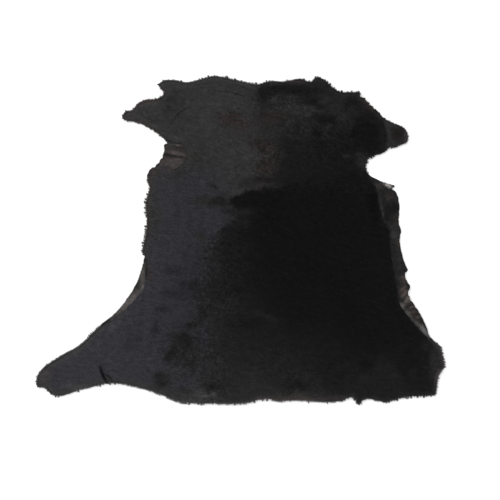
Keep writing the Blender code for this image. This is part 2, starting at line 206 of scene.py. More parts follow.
NAP_LINE = (
    (560, 125, 40), (270, 145, 45), (165, 150, 38), (124, 144, 18), (85, 140, 10), (50, 137, 6),
    (32, 139, 5), (15, 134, 5), (-3, 126, 5), (-18, 119, 6), (-30, 111, 7), (-33, 103, 9),
    (-26, 94, 11), (-18, 84, 13), (-13, 70, 13), (-12, 56, 12), (-22, 45, 12), (-42, 37, 13),
    (-56, 24, 17), (-68, 7, 28), (-82, -13, 38), (-86, -33, 46), (-84, -56, 52), (-84, -80, 54),
    (-88, -105, 54), (-108, -128, 52), (-106, -150, 54), (-98, -190, 58), (-108, -241, 62),
    (-88, -301, 65), (-78, -342, 65), (-80, -500, 65),
)
NAP_CORNERS = ((600, -500), (600, 125))

# Places in the wool that stand out by being lighter, darker, bluer or browner. Many lighter and darker ones
# are painted sheen and shade of the nap; the rump edge's glint and the ridge beside the wedge are painted
# highlights, and the dark beside the wedge is a painted shadow.

WOOL_TONES_AND_PAINTED_LIGHT = {
    "neck's brown rim": Patch(150, 438, 66, 8, 0, 41, 0.0, 0.6),
    "dark band's left end": Patch(65, 400, 20, 32, 0, 25, 0.0, 0.1),
    "dark neck band": Patch(102, 416, 42, 15, 0, 21, 0.0, 0.1),
    "dark band's right end": Patch(172, 409, 44, 14, -5, 22),
    "light below the band": Patch(137, 388, 30, 12, 12, 37),
    "light neck patch": Patch(160, 357, 56, 15, -8, 42),
    "dull left neck": Patch(-186, 370, 34, 42, 0, 41),
    "dark neck spot": Patch(199, 378, 32, 13, 0, 22),
    "light neck spot": Patch(234, 385, 14, 11, 0, 39),
    "dark neck bar": Patch(234, 332, 42, 13, -8, 21),
    "light gap": Patch(273, 340, 13, 22, 60, 35),
    "dark right neck": Patch(308, 378, 24, 15, 0, 24),
    "brown notch": Patch(349, 369, 22, 12, -40, 31, 0.0, 2.2),
    "black right shoulder": Patch(353, 298, 50, 60, 0, 16.5),
    "dark right withers": Patch(313, 178, 30, 18, 0, 18),
    "light fold's upper end": Patch(406, 340, 30, 7, -33, 42, 0.0, 0.3),
    "dark beside the wedge": Patch(365, 96, 15, 52, 8, 13),
    "ridge beside the wedge": Patch(380, 106, 40, 4, -80, 36),
    "shoulder's streak": Patch(352, 330, 34, 5, -25, 25),
    "light armpit wool": Patch(330, 222, 18, 26, 0, 35),
    "light armpit spot": Patch(291, 230, 9, 6, 0, 33),
    "foreleg's light fold": Patch(406, 294, 46, 9, -78, 40),
    "foreleg's brown end": Patch(432, 294, 17, 22, 0, 25, 0.0, 1.3),
    "foreleg's tip": Patch(456, 288, 7, 22, 0, 46, 0.3, 0.3),
    "dark shoulder streaks": Patch(129, 263, 24, 16, 0, 26),
    "dark shoulder stripe": Patch(212, 271, 14, 36, 0, 21),
    "light shoulder streaks": Patch(296, 196, 40, 6, -20, 24),
    "dull shoulder": Patch(2, 308, 26, 18, 0, 43, 0.0, 0.8),
    "brown shoulder": Patch(-25, 332, 40, 22, 0, 39, 0.3, 2.1),
    "brown neck": Patch(90, 337, 44, 20, 0, 36, 0.1, 1.4),
    "brown withers": Patch(69, 255, 48, 22, -25, 36, 0.0, 1.4),
    "olive withers": Patch(72, 200, 33, 25, 0, 36, -0.1, 1.5),
    "dull above the nap line": Patch(20, 154, 32, 12, 0, 39),
    "beside the armpit": Patch(-122, 226, 40, 34, 0, 46, -0.2),
    "dull below the armpit": Patch(-168, 192, 26, 22, 0, 42, 0.2),
    "dark by the nap line": Patch(68, 168, 40, 11, 0, 26, 0.0, 0.9),
    "light by the nap line": Patch(69, 153, 12, 7, 0, 44),
    "brown by the nap line": Patch(63, 141, 15, 8, 0, 23, 0.0, 1.4),
    "olive band": Patch(-94, 106, 46, 13, 0, 40, -0.3, 0.1),
    "beside the tongue": Patch(-54, 105, 26, 19, 0, 31, 0.0, 0.3),
    "dull left rim": Patch(-234, 64, 24, 70, 0, 47, 0.3, 0.2),
    "dark dot": Patch(-74, 145, 12, 6, -30, 34, 0.9),
    "dark tongue": Patch(3, 113, 30, 10, 10, 19),
    "lobe below the tongue": Patch(-3, 78, 44, 14, 0, 31),
    "lobe's lower part": Patch(-2, 50, 32, 15, 0, 30),
    "blue dark patch": Patch(-30, 33, 22, 9, 0, 25, 0.8),
    "light flank streak": Patch(-108, 7, 34, 7, -35, 43),
    "flank streak": Patch(-187, -84, 26, 10, 0, 40, 1.0),
    "loin spot": Patch(-157, -119, 17, 16, 0, 37, 1.0),
    "loin streak": Patch(-176, -147, 38, 13, 0, 39, 0.9),
    "thigh spot": Patch(-215, -188, 22, 11, 0, 40, 1.0),
    "thigh streak": Patch(-231, -240, 24, 10, 90, 39, 1.0),
    "faint leg spots": Patch(-300, -285, 26, 20, 20, 46, 1.0),
    "mottled hip": Patch(-153, -302, 37, 62, 25, 38, 0.2),
    "hip blotch": Patch(-154, -272, 25, 20, 30, 30, 0.1),
    "lower hip blotch": Patch(-192, -312, 27, 14, 55, 29, 0.1),
    "inner hip blotch": Patch(-143, -340, 15, 10, 0, 35, 0.1),
    "hip line": Patch(-131, -228, 24, 7, 28, 31),
    "rump streak": Patch(-217, -370, 28, 9, 10, 34, 0.2),
    "rump blotch": Patch(-216, -391, 20, 14, 20, 32, 0.2),
    "rump's edge blotch": Patch(-153, -412, 15, 9, 0, 38, 0.1),
    "blue rump patch": Patch(-160, -391, 26, 15, 0, 50, 1.0),
    "light rump edge": Patch(-118, -429, 52, 12, -2, 55),
    "rump edge's glint": Patch(-100, -424, 26, 12, 0, 66),
    "dark rump spot": Patch(-80, -399, 27, 13, 0, 31),
    "blue loin spot": Patch(-68, -186, 20, 13, 0, 40, 1.0),
    "dark loin spot": Patch(-101, -192, 11, 24, 0, 31),
    "light loin band": Patch(-52, -190, 40, 18, 8, 36, 0.1),
    "dark by the loin": Patch(-127, -123, 14, 15, 0, 33, 0.3),
    "blue croup streak": Patch(-99, -262, 34, 13, 90, 45, 0.9),
    "light croup streak": Patch(63, -205, 38, 8, -22, 34),
    "light loin patch": Patch(-22, -169, 26, 16, 0, 34),
    "dark croup": Patch(11, -227, 50, 12, 0, 25),
    "light right rump": Patch(396, -356, 34, 28, 0, 31),
    "light right rump spot": Patch(341, -383, 15, 14, 0, 34),
    "dark right thigh": Patch(462, -334, 40, 46, 0, 22),
    "dark inner thigh": Patch(341, -340, 22, 18, 0, 21),
    "light right shank": Patch(470, -361, 19, 11, 90, 30),
    "light inner shank": Patch(423, -374, 18, 14, 0, 33),
    "right thigh's rim": Patch(508, -290, 12, 14, 0, 31),
    "right leg's rim": Patch(531, -336, 52, 16, 85, 42),
    "dark above the rump's edge": Patch(158, -396, 44, 14, 0, 30),
    "rump edge's right part": Patch(244, -427, 46, 11, 0, 45, 0.0, 0.5),
    "brown rump edge": Patch(138, -428, 66, 11, 0, 51, 0.0, 0.9),
    "thigh's rim": Patch(-347, -236, 24, 9, 42, 60, 0.5, 0.2),
    "hind leg's lower edge": Patch(-456, -402, 36, 11, -8, 60, 0.6),
    "hind foot": Patch(-536, -372, 20, 16, 0, 56, 0.0, 0.6),
    "left foreleg's edge": Patch(-261, 378, 30, 11, 10, 53, 0.0, 0.6),
    "armpit's lower lip": Patch(-243, 186, 14, 12, 0, 47, 0.0, 1.6),
    "brown above the thigh": Patch(-252, -86, 7, 24, 0, 43, 0.0, 2.6),
}

# Places where the wool is mottled, by how much beside the nap line.

MOTTLED = {
    "withers": Patch(69, 225, 45, 60, 0, 1.1),
    "brown shoulder": Patch(-25, 332, 45, 28, 0, 0.7),
    "neck": Patch(110, 390, 90, 55, 0, 0.75),
    "right shoulder": Patch(250, 280, 140, 100, 0, 1.0),
    "loin": Patch(-25, -110, 60, 150, 0, 0.95),
    "rump": Patch(140, -350, 260, 80, 0, 0.5),
    "hip": Patch(-160, -320, 55, 80, 0, 0.85),
    "hind leg": Patch(-430, -350, 120, 60, 30, 0.2),
    "left rim": Patch(-240, 60, 20, 120, 0, 0.4),
}

# Places where the cut edge is torn, by how many millimetres more than elsewhere.

TORN_EDGE = {
    "left armpit": Patch(-225, 232, 40, 60, 0, 2.6),
    "right shoulder": Patch(350, 366, 60, 40, -45, 4.0),
    "right flank's top": Patch(415, 140, 35, 25, 0, 1.2),
    "right flank": Patch(460, -150, 30, 90, 0, 0.8),
}

# Places where the edge's teeth of wool are weaker or stronger, as a share.

TOOTH_STRENGTHS = {
    "left flank": Patch(-255, 60, 30, 120, 0, 1.25),
    "right leg": Patch(530, -345, 50, 75, 0, 0.4),
}

# How much lighter and browner the wool is at the cut edge: the lighter part is painted light that lifts the
# shade on the rim's locks, the browner part a tint of the tips.

RIM_LIGHT_AND_BROWN = (4.0, 0.0, 0.4)
RIM_LIGHTS_AND_BROWNS = {
    "thigh": Patch(-390, -260, 110, 60, 35, 10),
    "left flank": Patch(-245, 80, 40, 110, 0, 3, 0.0, 1.7),
    "left foreleg": Patch(-230, 350, 70, 70, 0, 2, 0.0, 1.4),
    "neck": Patch(20, 440, 190, 40, 0, 8, 0.0, 0.5),
    "right shoulder": Patch(370, 340, 90, 60, -45, 14, 0.0, 0.2),
    "right leg": Patch(520, -340, 60, 80, 0, 42, 0.0, 1.2),
    "rump": Patch(130, -430, 330, 50, 0, 15, 0.0, 0.6),
}

# Partings and wrinkles of the wool, with painted shade along them.

WOOL_CREASES = {
    "long neck wrinkle": Crease(-80, 411, 14, 393, 5, 3.5, 1.6, 0.35),
    "short neck wrinkle": Crease(-26, 431, 28, 408, 3, 3.0, 1.2, 0.25),
    "left shoulder": Crease(-192, 315, -134, 368, 9, 4.0, 1.6, 0.3),
    "left foreleg": Crease(-281, 366, -252, 331, -6, 3.5, 1.2, 0.25),
    "left foreleg's inner wrinkle": Crease(-262, 362, -235, 322, -5, 3.0, 0.8, 0.15),
    "right foreleg": Crease(383, 352, 397, 256, 4, 7.0, 1.6, 0.25),
    "left hind leg": Crease(-386, -340, -364, -392, -5, 7.0, 2.8, 0.85),
    "left hind leg's fork": Crease(-377, -364, -350, -389, 3, 5.0, 1.4, 0.5),
    "left thigh parting": Crease(-117, -142, -156, -218, -9, 8.0, 0.8, 0.12),
    "left rump parting": Crease(-139, -258, -204, -364, 12, 9.0, 1.0, 0.15),
}

# Outlines of the bare leather, open towards the cut edge.

BARE_OUTLINES = {
    "left armpit": BareOutline(
        8.0,
        (
            (-270, 262), (-205, 272), (-186, 268), (-162, 263), (-152, 250), (-150, 232),
            (-157, 216), (-168, 206), (-184, 198), (-197, 188), (-215, 185), (-234, 177), (-280, 178),
        ),
    ),
    "behind the right armpit": BareOutline(
        26.0,
        (
            (357, 178), (369, 155), (379, 131), (385, 103), (388, 76),
            (396, 54), (404, 43), (470, 40), (470, 180),
        ),
    ),
    "right flank": BareOutline(
        8.0,
        (
            (402, 60), (408, 18), (410, -15), (413, -48), (418, -81), (426, -111), (432, -141), (436, -172),
            (446, -191), (462, -212), (478, -232), (495, -250), (514, -267), (560, -260), (520, 60),
        ),
    ),
    "left thigh": BareOutline(
        7.0,
        (
            (-264, -42), (-259, -59), (-257, -81), (-259, -106), (-266, -128), (-275, -144), (-292, -163),
            (-311, -183), (-333, -202), (-358, -220), (-382, -235), (-420, -200), (-300, -50),
        ),
    ),
}

# Tones of the bare leather, with painted highlights on its ridges, rays, puckers and glints, and painted
# shade in its folds, hollows and beside the wedge's ridge.

SKIN_GREY = 35.0
SKIN_TONES_AND_PAINTED_LIGHT = {
    "armpit": Patch(-198, 222, 62, 52, 0, 51, 0.0, 1.6),
    "armpit plateau": Patch(-198, 209, 38, 15, 20, 60, 0.0, 1.6),
    "armpit's lower part": Patch(-213, 195, 20, 14, 0, 50, 0.5, 0.7),
    "armpit band": Patch(-179, 239, 28, 6, -7, 64, 0.0, 1.5),
    "armpit light fold": Patch(-175, 263, 15, 4, -4, 66, 0.0, 1.0),
    "armpit dark fold": Patch(-183, 231, 34, 3.5, -7, 38, 0.0, 1.0),
    "armpit upper fold": Patch(-172, 256, 14, 3, -12, 38, 0.0, 1.0),
    "armpit mouth": Patch(-188, 272, 28, 4, -10, 36, 0.0, 1.5),
    "armpit lip": Patch(-240, 186, 16, 12, 0, 49, 0.0, 1.8),
    "wedge": Patch(392, 100, 22, 60, 0, 33, 0.0, 0.6),
    "wedge hollow": Patch(402, 75, 24, 9, 80, 24),
    "wedge's dark side": Patch(376, 96, 40, 7, -80, 18),
    "wedge ridge": Patch(385, 90, 58, 5, -80, 44),
    "wedge's top": Patch(381, 151, 14, 8, -30, 46, 0.0, 1.8),
    "brown wedge": Patch(408, 122, 14, 13, 0, 43, 0.0, 3.0),
    "dark tuft": Patch(423, 88, 9, 12, 0, 16),
    "torn point": Patch(404, 152, 15, 5, -25, 130, -0.3, 0.6),
    "brown flank": Patch(428, 62, 12, 12, 0, 38, 0.0, 2.0),
    "strip's upper end": Patch(422, 36, 14, 20, 0, 40, 0.0, 0.6),
    "strip's light part": Patch(421, 14, 8, 14, 0, 48, 0.0, 0.3),
    "strip's outer part": Patch(432, -6, 7, 20, 0, 45, 0.0, 2.4),
    "strip's outer middle": Patch(438, -58, 7, 24, 0, 39, 0.0, 1.5),
    "brown skin": Patch(446, -108, 11, 15, 0, 51, 0.0, 2.8),
    "brown lower skin": Patch(447, -142, 14, 17, 0, 52, -0.3, 3.0),
    "upper ray": Patch(447, -130, 12, 2.5, 38, 66, -0.3, 1.5),
    "second ray": Patch(450, -145, 13, 3, 42, 74, -0.3, 1.2),
    "light rays": Patch(457, -165, 15, 8, 50, 96, 0.0, 0.6),
    "dark puckers": Patch(474, -194, 34, 13, -52, 43, -0.5, 2.4),
    "light fleck": Patch(468, -184, 9, 2.5, 35, 64, -0.3, 1.0),
    "lower light fleck": Patch(486, -210, 8, 3, 20, 62, -0.3, 1.0),
    "light wool line": Patch(456, -198, 34, 4.5, -52, 66, 0.0, 0.8),
    "wool line's glint": Patch(459, -201, 8, 6, -52, 76, 0.0, 0.6),
    "corner glint": Patch(442, -178, 9, 6, -55, 82, 0.0, 0.6),
    "middle pucker": Patch(478, -226, 14, 7, -30, 66, -0.2, 0.8),
    "lower light pucker": Patch(505, -250, 24, 8, -50, 88, 0.0, 0.4),
    "olive thigh": Patch(-271, -95, 10, 44, 0, 72, -0.3, 0.5),
    "pink thigh": Patch(-310, -170, 66, 14, 45, 77, 0.0, 1.0),
    "thigh glint": Patch(-268, -129, 5, 8, -20, 90),
}

# Folds of the loose leather.

SKIN_FOLDS = {
    "armpit mouth": Crease(-214, 281, -150, 266, 2, 6, 1.2),
    "armpit light fold": Crease(-192, 263, -158, 260, 0, 5, -2.0),
    "armpit upper fold": Crease(-190, 259, -156, 253, 0, 3.5, 1.0),
    "armpit band": Crease(-210, 240, -150, 234, 0, 8, -1.8),
    "armpit dark fold": Crease(-218, 233, -144, 224, 0, 4.5, 1.4),
    "wedge ridge": Crease(384, 125, 396, 48, -4, 9, -1.5),
    "strip ridge": Crease(434, 50, 436, -125, 0, 5, -1.0),
    "upper ray": Crease(438, -137, 458, -122, 0, 3, -0.7),
    "second ray": Crease(440, -154, 462, -136, 0, 3.5, -0.9),
    "third ray": Crease(446, -174, 468, -154, 0, 4.5, -1.4),
    "wool line": Crease(438, -176, 480, -226, 3, 6, -1.2),
    "upper hollow": Crease(456, -178, 482, -182, 0, 6, 1.0),
    "lower hollow": Crease(472, -202, 500, -212, 0, 6, 1.0),
    "lower light pucker": Crease(486, -237, 518, -264, 0, 8, -2.0),
    "thigh roll": Crease(-263, -60, -345, -212, -20, 6, -0.8),
}


def smooth_step(share: np.ndarray) -> np.ndarray:
    """Ease from 0 to 1 as share goes from 0 to 1."""
    share = np.clip(share, 0.0, 1.0)
    return share * share * (3.0 - 2.0 * share)


def unit_rows(rows: np.ndarray) -> np.ndarray:
    """Each row as a vector of length 1."""
    return rows / np.maximum(np.linalg.norm(rows, axis=1), TINY)[:, None]


def sent_back(grey: np.ndarray) -> np.ndarray:
    """Share of light that a surface sends back when a screen shows it at a grey from 0 to 255."""
    return ((np.maximum(grey, 0.0) / SCREEN_LEVELS + SCREEN_OFFSET) / (1.0 + SCREEN_OFFSET)) ** SCREEN_POWER


def turned(points: np.ndarray, degrees: float) -> np.ndarray:
    """Points as seen along and across a direction.

    Args:
        points: rows of x and y.
        degrees: the direction's turn from X.

    Returns:
        Rows of the places along it and across it.
    """
    way = math.radians(degrees)
    x, y = points[:, 0], points[:, 1]
    along = x * math.cos(way) + y * math.sin(way)
    across = y * math.cos(way) - x * math.sin(way)
    return np.stack((along, across), axis=1)


class SoftNoise:
    """Smooth noise of about -1 to 1 over the hide, the same each run."""

    SIZE = 256
    SEED = 20
    LAYER_SHIFT = 37.7
    GAIN = 1.6
    SLOPE_STEP = 0.05
    STREAK_TURN = -20.0
    STREAK_STRETCH = 2.3

    def __init__(self) -> None:
        """Draw the noise's directions."""
        turn = np.random.default_rng(self.SEED).uniform(0.0, 2.0 * math.pi, (self.SIZE, self.SIZE))
        self.directions = np.stack((np.cos(turn), np.sin(turn)), axis=-1)

    def at(self, points: np.ndarray, length: float, layer: Layer) -> np.ndarray:
        """Noise at each point.

        Args:
            points: rows of x and y in millimetres.
            length: size of the lumps in millimetres.
            layer: which pattern.

        Returns:
            One value for each point.
        """
        place = points[:, :2] / length + layer.value * self.LAYER_SHIFT
        cell = np.floor(place).astype(int)
        share = place - cell
        eased = share**3 * (share * (share * 6.0 - 15.0) + 10.0)
        total = np.zeros(len(points))
        for right in (0, 1):
            for up in (0, 1):
                way = self.directions[(cell[:, 0] + right) % self.SIZE, (cell[:, 1] + up) % self.SIZE]
                dot = (way * (share - (right, up))).sum(1)
                weight_x = eased[:, 0] if right else 1.0 - eased[:, 0]
                weight_y = eased[:, 1] if up else 1.0 - eased[:, 1]
                total += weight_x * weight_y * dot
        return total * self.GAIN

    def streaks(self, points: np.ndarray, length: float, layer: Layer) -> np.ndarray:
        """Noise drawn out along the wool's streaks, with lumps of a given width."""
        return self.at(turned(points, self.STREAK_TURN) / (self.STREAK_STRETCH, 1.0), length, layer)

    def layered(self, points: np.ndarray, parts: Pairs, layer: Layer, streaked: bool = False) -> np.ndarray:
        """Sum of noises of several sizes.

        Args:
            points: rows of x and y in millimetres.
            parts: how strong each noise is, and the size of its lumps.
            layer: which pattern.
            streaked: whether the lumps are drawn out along the wool's streaks.

        Returns:
            One value for each point.
        """
        noise = self.streaks if streaked else self.at
        return sum(strength * noise(points, length, layer) for strength, length in parts)

    def slope(self, points: np.ndarray, length: float, layer: Layer) -> np.ndarray:
        """Direction in which the streaks rise at each point, of length about 1.

        Args:
            points: rows of x and y in millimetres.
            length: width of the lumps in millimetres.
            layer: which pattern.

        Returns:
            Rows of x and y.
        """
        here = self.streaks(points, length, layer)
        step = self.SLOPE_STEP * length
        right = self.streaks(points + (step, 0.0), length, layer)
        up = self.streaks(points + (0.0, step), length, layer)
        return np.stack((right - here, up - here), axis=1) / self.SLOPE_STEP


NOISE = SoftNoise()


def warped(points: np.ndarray, warps: Pairs) -> np.ndarray:
    """Points moved about by noise, so that what is drawn there is uneven.

    Args:
        points: rows of x and y, and more if need be.
        warps: how far each noise moves them, and the size of its lumps.

    Returns:
        Rows of x and y.
    """
    shifts = [NOISE.layered(points, warps, layer) for layer in (Layer.WARP_X, Layer.WARP_Y)]
    return points[:, :2] + np.stack(shifts, axis=1)


def triangle_lattice(low: np.ndarray, high: np.ndarray, step: float, jitter: float, seed: int) -> np.ndarray:
    """Uneven triangular lattice of points.

    Args:
        low: lowest x and y.
        high: highest x and y.
        step: spacing of the points.
        jitter: how far a point may stray, as a share of the spacing.
        seed: of the random draw.

    Returns:
        Rows of x and y.
    """
    draw = np.random.default_rng(seed)
    rise = step * math.sqrt(3.0) / 2.0
    rows, columns = (int(span) + 1 for span in ((high[1] - low[1]) / rise, (high[0] - low[0]) / step))
    row, column = np.meshgrid(np.arange(rows), np.arange(columns), indexing="ij")
    x = low[0] + (column + 0.5 * (row % 2)) * step
    y = low[1] + row * rise
    places = np.stack((x.ravel(), y.ravel()), axis=1)
    return places + draw.uniform(-jitter * step, jitter * step, places.shape)


def loops_of(faces: np.ndarray) -> list[list[int]]:
    """Boundary loops of some triangles, the longest first, in the triangles' own sense.

    Args:
        faces: rows of three point numbers.

    Returns:
        Each loop's point numbers.
    """
    edges = np.concatenate((faces[:, [0, 1]], faces[:, [1, 2]], faces[:, [2, 0]]))
    found = set(map(tuple, edges.tolist()))
    following: dict[int, list[int]] = {}
    for start, end in sorted(found):
        if (end, start) not in found:
            following.setdefault(start, []).append(end)
    loops = []
    while following:
        current = next(iter(following))
        loop = []
        while current in following:
            loop.append(current)
            ends = following[current]
            after = ends.pop()
            if not ends:
                del following[current]
            current = after
        loops.append(loop)
    return sorted(loops, key=len, reverse=True)


def filled_loop(loop: np.ndarray, inner: np.ndarray) -> np.ndarray:
    """Triangles that fill a loop through the points inside it.

    Args:
        loop: rows of x and y, anticlockwise.
        inner: rows of x and y inside the loop.

    Returns:
        Rows of three point numbers, the loop's points first.
    """
    places = [Vector(place) for place in (*loop, *inner)]
    _, _, faces, origins, *_ = delaunay_2d_cdt(places, [], [list(range(len(loop)))], INSIDE_ONLY, TINY)
    return np.array([[origins[vertex][0] for vertex in face] for face in faces])


def walls_between(low: np.ndarray, high: np.ndarray) -> np.ndarray:
    """Triangles between two loops of points that run side by side.

    Args:
        low: point numbers of the lower loop.
        high: those of the upper loop, in the same order.

    Returns:
        Rows of three point numbers.
    """
    low_after, high_after = np.roll(low, -1), np.roll(high, -1)
    halves = ((low, low_after, high_after), (low, high_after, high))
    return np.concatenate([np.stack(half, axis=1) for half in halves])


def inside(points: np.ndarray, loop: np.ndarray) -> np.ndarray:
    """Whether each point lies inside a closed loop.

    Args:
        points: rows of x and y.
        loop: rows of x and y round the loop.

    Returns:
        True or false for each point.
    """
    found = np.zeros(len(points), bool)
    for start, end in zip(loop, np.roll(loop, -1, axis=0)):
        spans = (start[1] > points[:, 1]) != (end[1] > points[:, 1])
        if spans.any():
            rise = (points[spans, 1] - start[1]) / (end[1] - start[1])
            found[spans] ^= points[spans, 0] < start[0] + (end[0] - start[0]) * rise
    return found


def distance_to_line(points: np.ndarray, line: np.ndarray) -> tuple[np.ndarray, np.ndarray]:
    """Distance to an open line, and where along it the nearest place is.

    Args:
        points: rows of x and y.
        line: rows of x and y along the line.

    Returns:
        The distances, and the nearest places as a number of the line's points.
    """
    nearest = np.full(len(points), np.inf)
    along = np.zeros(len(points))
    for index, (start, end) in enumerate(zip(line[:-1], line[1:])):
        way = end - start
        share = np.clip((points - start) @ way / (way @ way), 0.0, 1.0)
        gap = np.linalg.norm(points - start - share[:, None] * way, axis=1)
        closer = gap < nearest
        nearest[closer] = gap[closer]
        along[closer] = (index + share)[closer]
    return nearest, along


def crease_share(points: np.ndarray, crease: Crease) -> np.ndarray:
    """How much of a crease's depth each point has, from 0 to 1.

    Args:
        points: rows of x and y.
        crease: the parting, wrinkle or ridge.

    Returns:
        One share for each point.
    """
    start = np.array((crease.x0, crease.y0), float)
    way = np.array((crease.x1, crease.y1), float) - start
    length = float(np.linalg.norm(way))
    way /= length
    run = (points - start) @ way
    share = np.clip(run / length, 0.0, 1.0)
    side = (points - start) @ np.array((-way[1], way[0])) - crease.bow * 4.0 * share * (1.0 - share)
    fade = np.sqrt(np.sin(math.pi * share))
    return fade * (1.0 - smooth_step(np.hypot(side, run - share * length) / crease.half_width))


def patched(points: np.ndarray, tones: np.ndarray, patches: dict[str, Patch]) -> np.ndarray:
    """Lay some patches over tones.

    Args:
        points: rows of x and y.
        tones: rows of grey, blue and rust.
        patches: the patches by name.

    Returns:
        The new tones.
    """
    for patch in patches.values():
        place = turned(points - (patch.x, patch.y), patch.turn) / (patch.long, patch.wide)
        share = np.exp(-((place**2).sum(1) ** PATCH_POWER))[:, None]
        tones = tones + share * (np.array((patch.grey, patch.blue, patch.rust)) - tones)
    return tones


def local_amount(points: np.ndarray, usual: float | np.ndarray, patches: dict[str, Patch]) -> np.ndarray:
    """An amount that is the usual one but for some patches, whose greys give the amount there.

    Args:
        points: rows of x and y.
        usual: one amount, or a column with one for each point.
        patches: the patches by name.

    Returns:
        One amount for each point.
    """
    return patched(points, np.zeros((len(points), 1)) + usual, patches)[:, 0]


@dataclass
class SolidHide:
    """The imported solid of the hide, read as maps of its heights and as its cut edge, in millimetres."""

    node: bpy.types.Object
    step: float = 1.5
    margin: float = 15.0
    facing: float = 0.05
    leather_blur: int = 6
    wool_blur: int = 14
    last_cell: float = 1.001
    points: np.ndarray = field(init=False)
    triangles: np.ndarray = field(init=False)
    low: np.ndarray = field(init=False)
    shape: tuple[int, int] = field(init=False)
    under_map: np.ndarray = field(init=False)
    wool_map: np.ndarray = field(init=False)
    edge: np.ndarray = field(init=False)
    wool_rim: np.ndarray = field(init=False)

    def __post_init__(self) -> None:
        """Read the mesh, its cut edge, the rim of its wool and its height maps."""
        self.weld()
        a, b, c = (self.points[self.triangles[:, corner]] for corner in range(3))
        upper = unit_rows(np.cross(b - a, c - a))[:, 2] > self.facing
        self.low = self.points[:, :2].min(0) - self.margin
        span = self.points[:, :2].max(0) + self.margin - self.low
        self.shape = (int(span[1] / self.step) + 1, int(span[0] / self.step) + 1)
        self.edge = self.points[self.leather_loop(upper)]
        self.wool_rim = self.points[loops_of(self.triangles[upper])[0], :2]
        top = self.filled(self.drawn(self.triangles[upper]))
        under = self.filled(self.drawn(self.triangles[~upper]))
        self.under_map = self.blurred(under, self.leather_blur)
        self.wool_map = self.blurred(np.maximum(top - under - SOLID_LEATHER, 0.0), self.wool_blur)

    def weld(self) -> None:
        """Read the solid's vertices, each once, and its triangles."""
        mesh = self.node.data
        places = np.empty(len(mesh.vertices) * 3)
        mesh.vertices.foreach_get("co", places)
        corners = np.empty(len(mesh.polygons) * 3, int)
        mesh.loops.foreach_get("vertex_index", corners)
        microns, same = np.unique(
            np.round(places.reshape(-1, 3) / METRES / METRES).astype(np.int64), axis=0, return_inverse=True
        )
        self.points = microns * METRES
        self.triangles = same.reshape(-1)[corners].reshape(-1, 3)

    def leather_loop(self, upper: np.ndarray) -> list[int]:
        """Vertex numbers along the leather's cut edge, anticlockwise.

        Args:
            upper: which triangles belong to the upper face.

        Returns:
            Vertex numbers of the edge between the underside and the rim.
        """
        rim = loops_of(self.triangles[upper])[0]
        lower = self.triangles[~upper]
        underside = lower[~np.isin(lower, rim).any(axis=1)]
        return loops_of(underside)[0][::-1]

    def drawn(self, triangles: np.ndarray) -> np.ndarray:
        """Heights of some triangles over the map, with no number where no triangle lies.

        Args:
            triangles: rows of three vertex numbers.

        Returns:
            The map.
        """
        heights = np.full(self.shape, np.nan)
        for corners in self.points[triangles]:
            place = (corners[:, :2] - self.low) / self.step
            first = np.ceil(place.min(0)).astype(int)
            last = np.floor(place.max(0)).astype(int) + 1
            (ax, ay), (bx, by), (cx, cy) = place
            area = (bx - ax) * (cy - ay) - (by - ay) * (cx - ax)
            if (last <= first).any() or abs(area) < TINY:
                continue
            x = np.arange(first[0], last[0])[None, :]
            y = np.arange(first[1], last[1])[:, None]
            to_b = ((x - ax) * (cy - ay) - (y - ay) * (cx - ax)) / area
            to_c = ((bx - ax) * (y - ay) - (by - ay) * (x - ax)) / area
            covers = (to_b >= -TINY) & (to_c >= -TINY) & (to_b + to_c <= 1.0 + TINY)
            a, b, c = corners[:, 2]
            level = a + to_b * (b - a) + to_c * (c - a)
            window = heights[first[1] : last[1], first[0] : last[0]]
            window[covers] = level[covers]
        return heights

    def filled(self, heights: np.ndarray) -> np.ndarray:
        """Carry a map's heights outward over its margin.

        Args:
            heights: the map, with no number where nothing lies.

        Returns:
            The map with heights everywhere.
        """
        heights = heights.copy()
        for _ in range(int(self.margin / self.step)):
            known = np.isfinite(heights)
            values = np.pad(np.where(known, heights, 0.0), 1)
            counts = np.pad(known.astype(float), 1)
            total = values[:-2, 1:-1] + values[2:, 1:-1] + values[1:-1, :-2] + values[1:-1, 2:]
            count = counts[:-2, 1:-1] + counts[2:, 1:-1] + counts[1:-1, :-2] + counts[1:-1, 2:]
            grow = ~known & (count > 0)
            heights[grow] = (total / np.maximum(count, 1.0))[grow]
        return np.nan_to_num(heights)

    @staticmethod
    def blurred(heights: np.ndarray, passes: int) -> np.ndarray:
        """Smooth the solid's facets out of a map.

        Args:
            heights: the map.
            passes: how often it is blurred over its neighbours.

        Returns:
            The smoother map.
        """
        for _ in range(passes):
            padded = np.pad(heights, 1, mode="edge")
            rows = (padded[:-2] + 2.0 * padded[1:-1] + padded[2:]) / 4.0
            heights = (rows[:, :-2] + 2.0 * rows[:, 1:-1] + rows[:, 2:]) / 4.0
        return heights

    def read(self, heights: np.ndarray, points: np.ndarray) -> np.ndarray:
        """Read a map between its places.

        Args:
            heights: the map.
            points: rows of x and y.

        Returns:
            The map's height at each point.
        """
        place = (points[:, :2] - self.low) / self.step
        place = np.clip(place, 0.0, np.array(self.shape[::-1]) - self.last_cell)
        cell = place.astype(int)
        x, y = (place - cell).T
        column, row = cell.T
        low = heights[row, column] * (1.0 - x) + heights[row, column + 1] * x
        high = heights[row + 1, column] * (1.0 - x) + heights[row + 1, column + 1] * x
        return low * (1.0 - y) + high * y

    def area(self) -> float:
        """Area of the leather in square millimetres."""
        x, y = self.edge[:, 0], self.edge[:, 1]
        return 0.5 * abs(float((x * np.roll(y, -1) - y * np.roll(x, -1)).sum()))


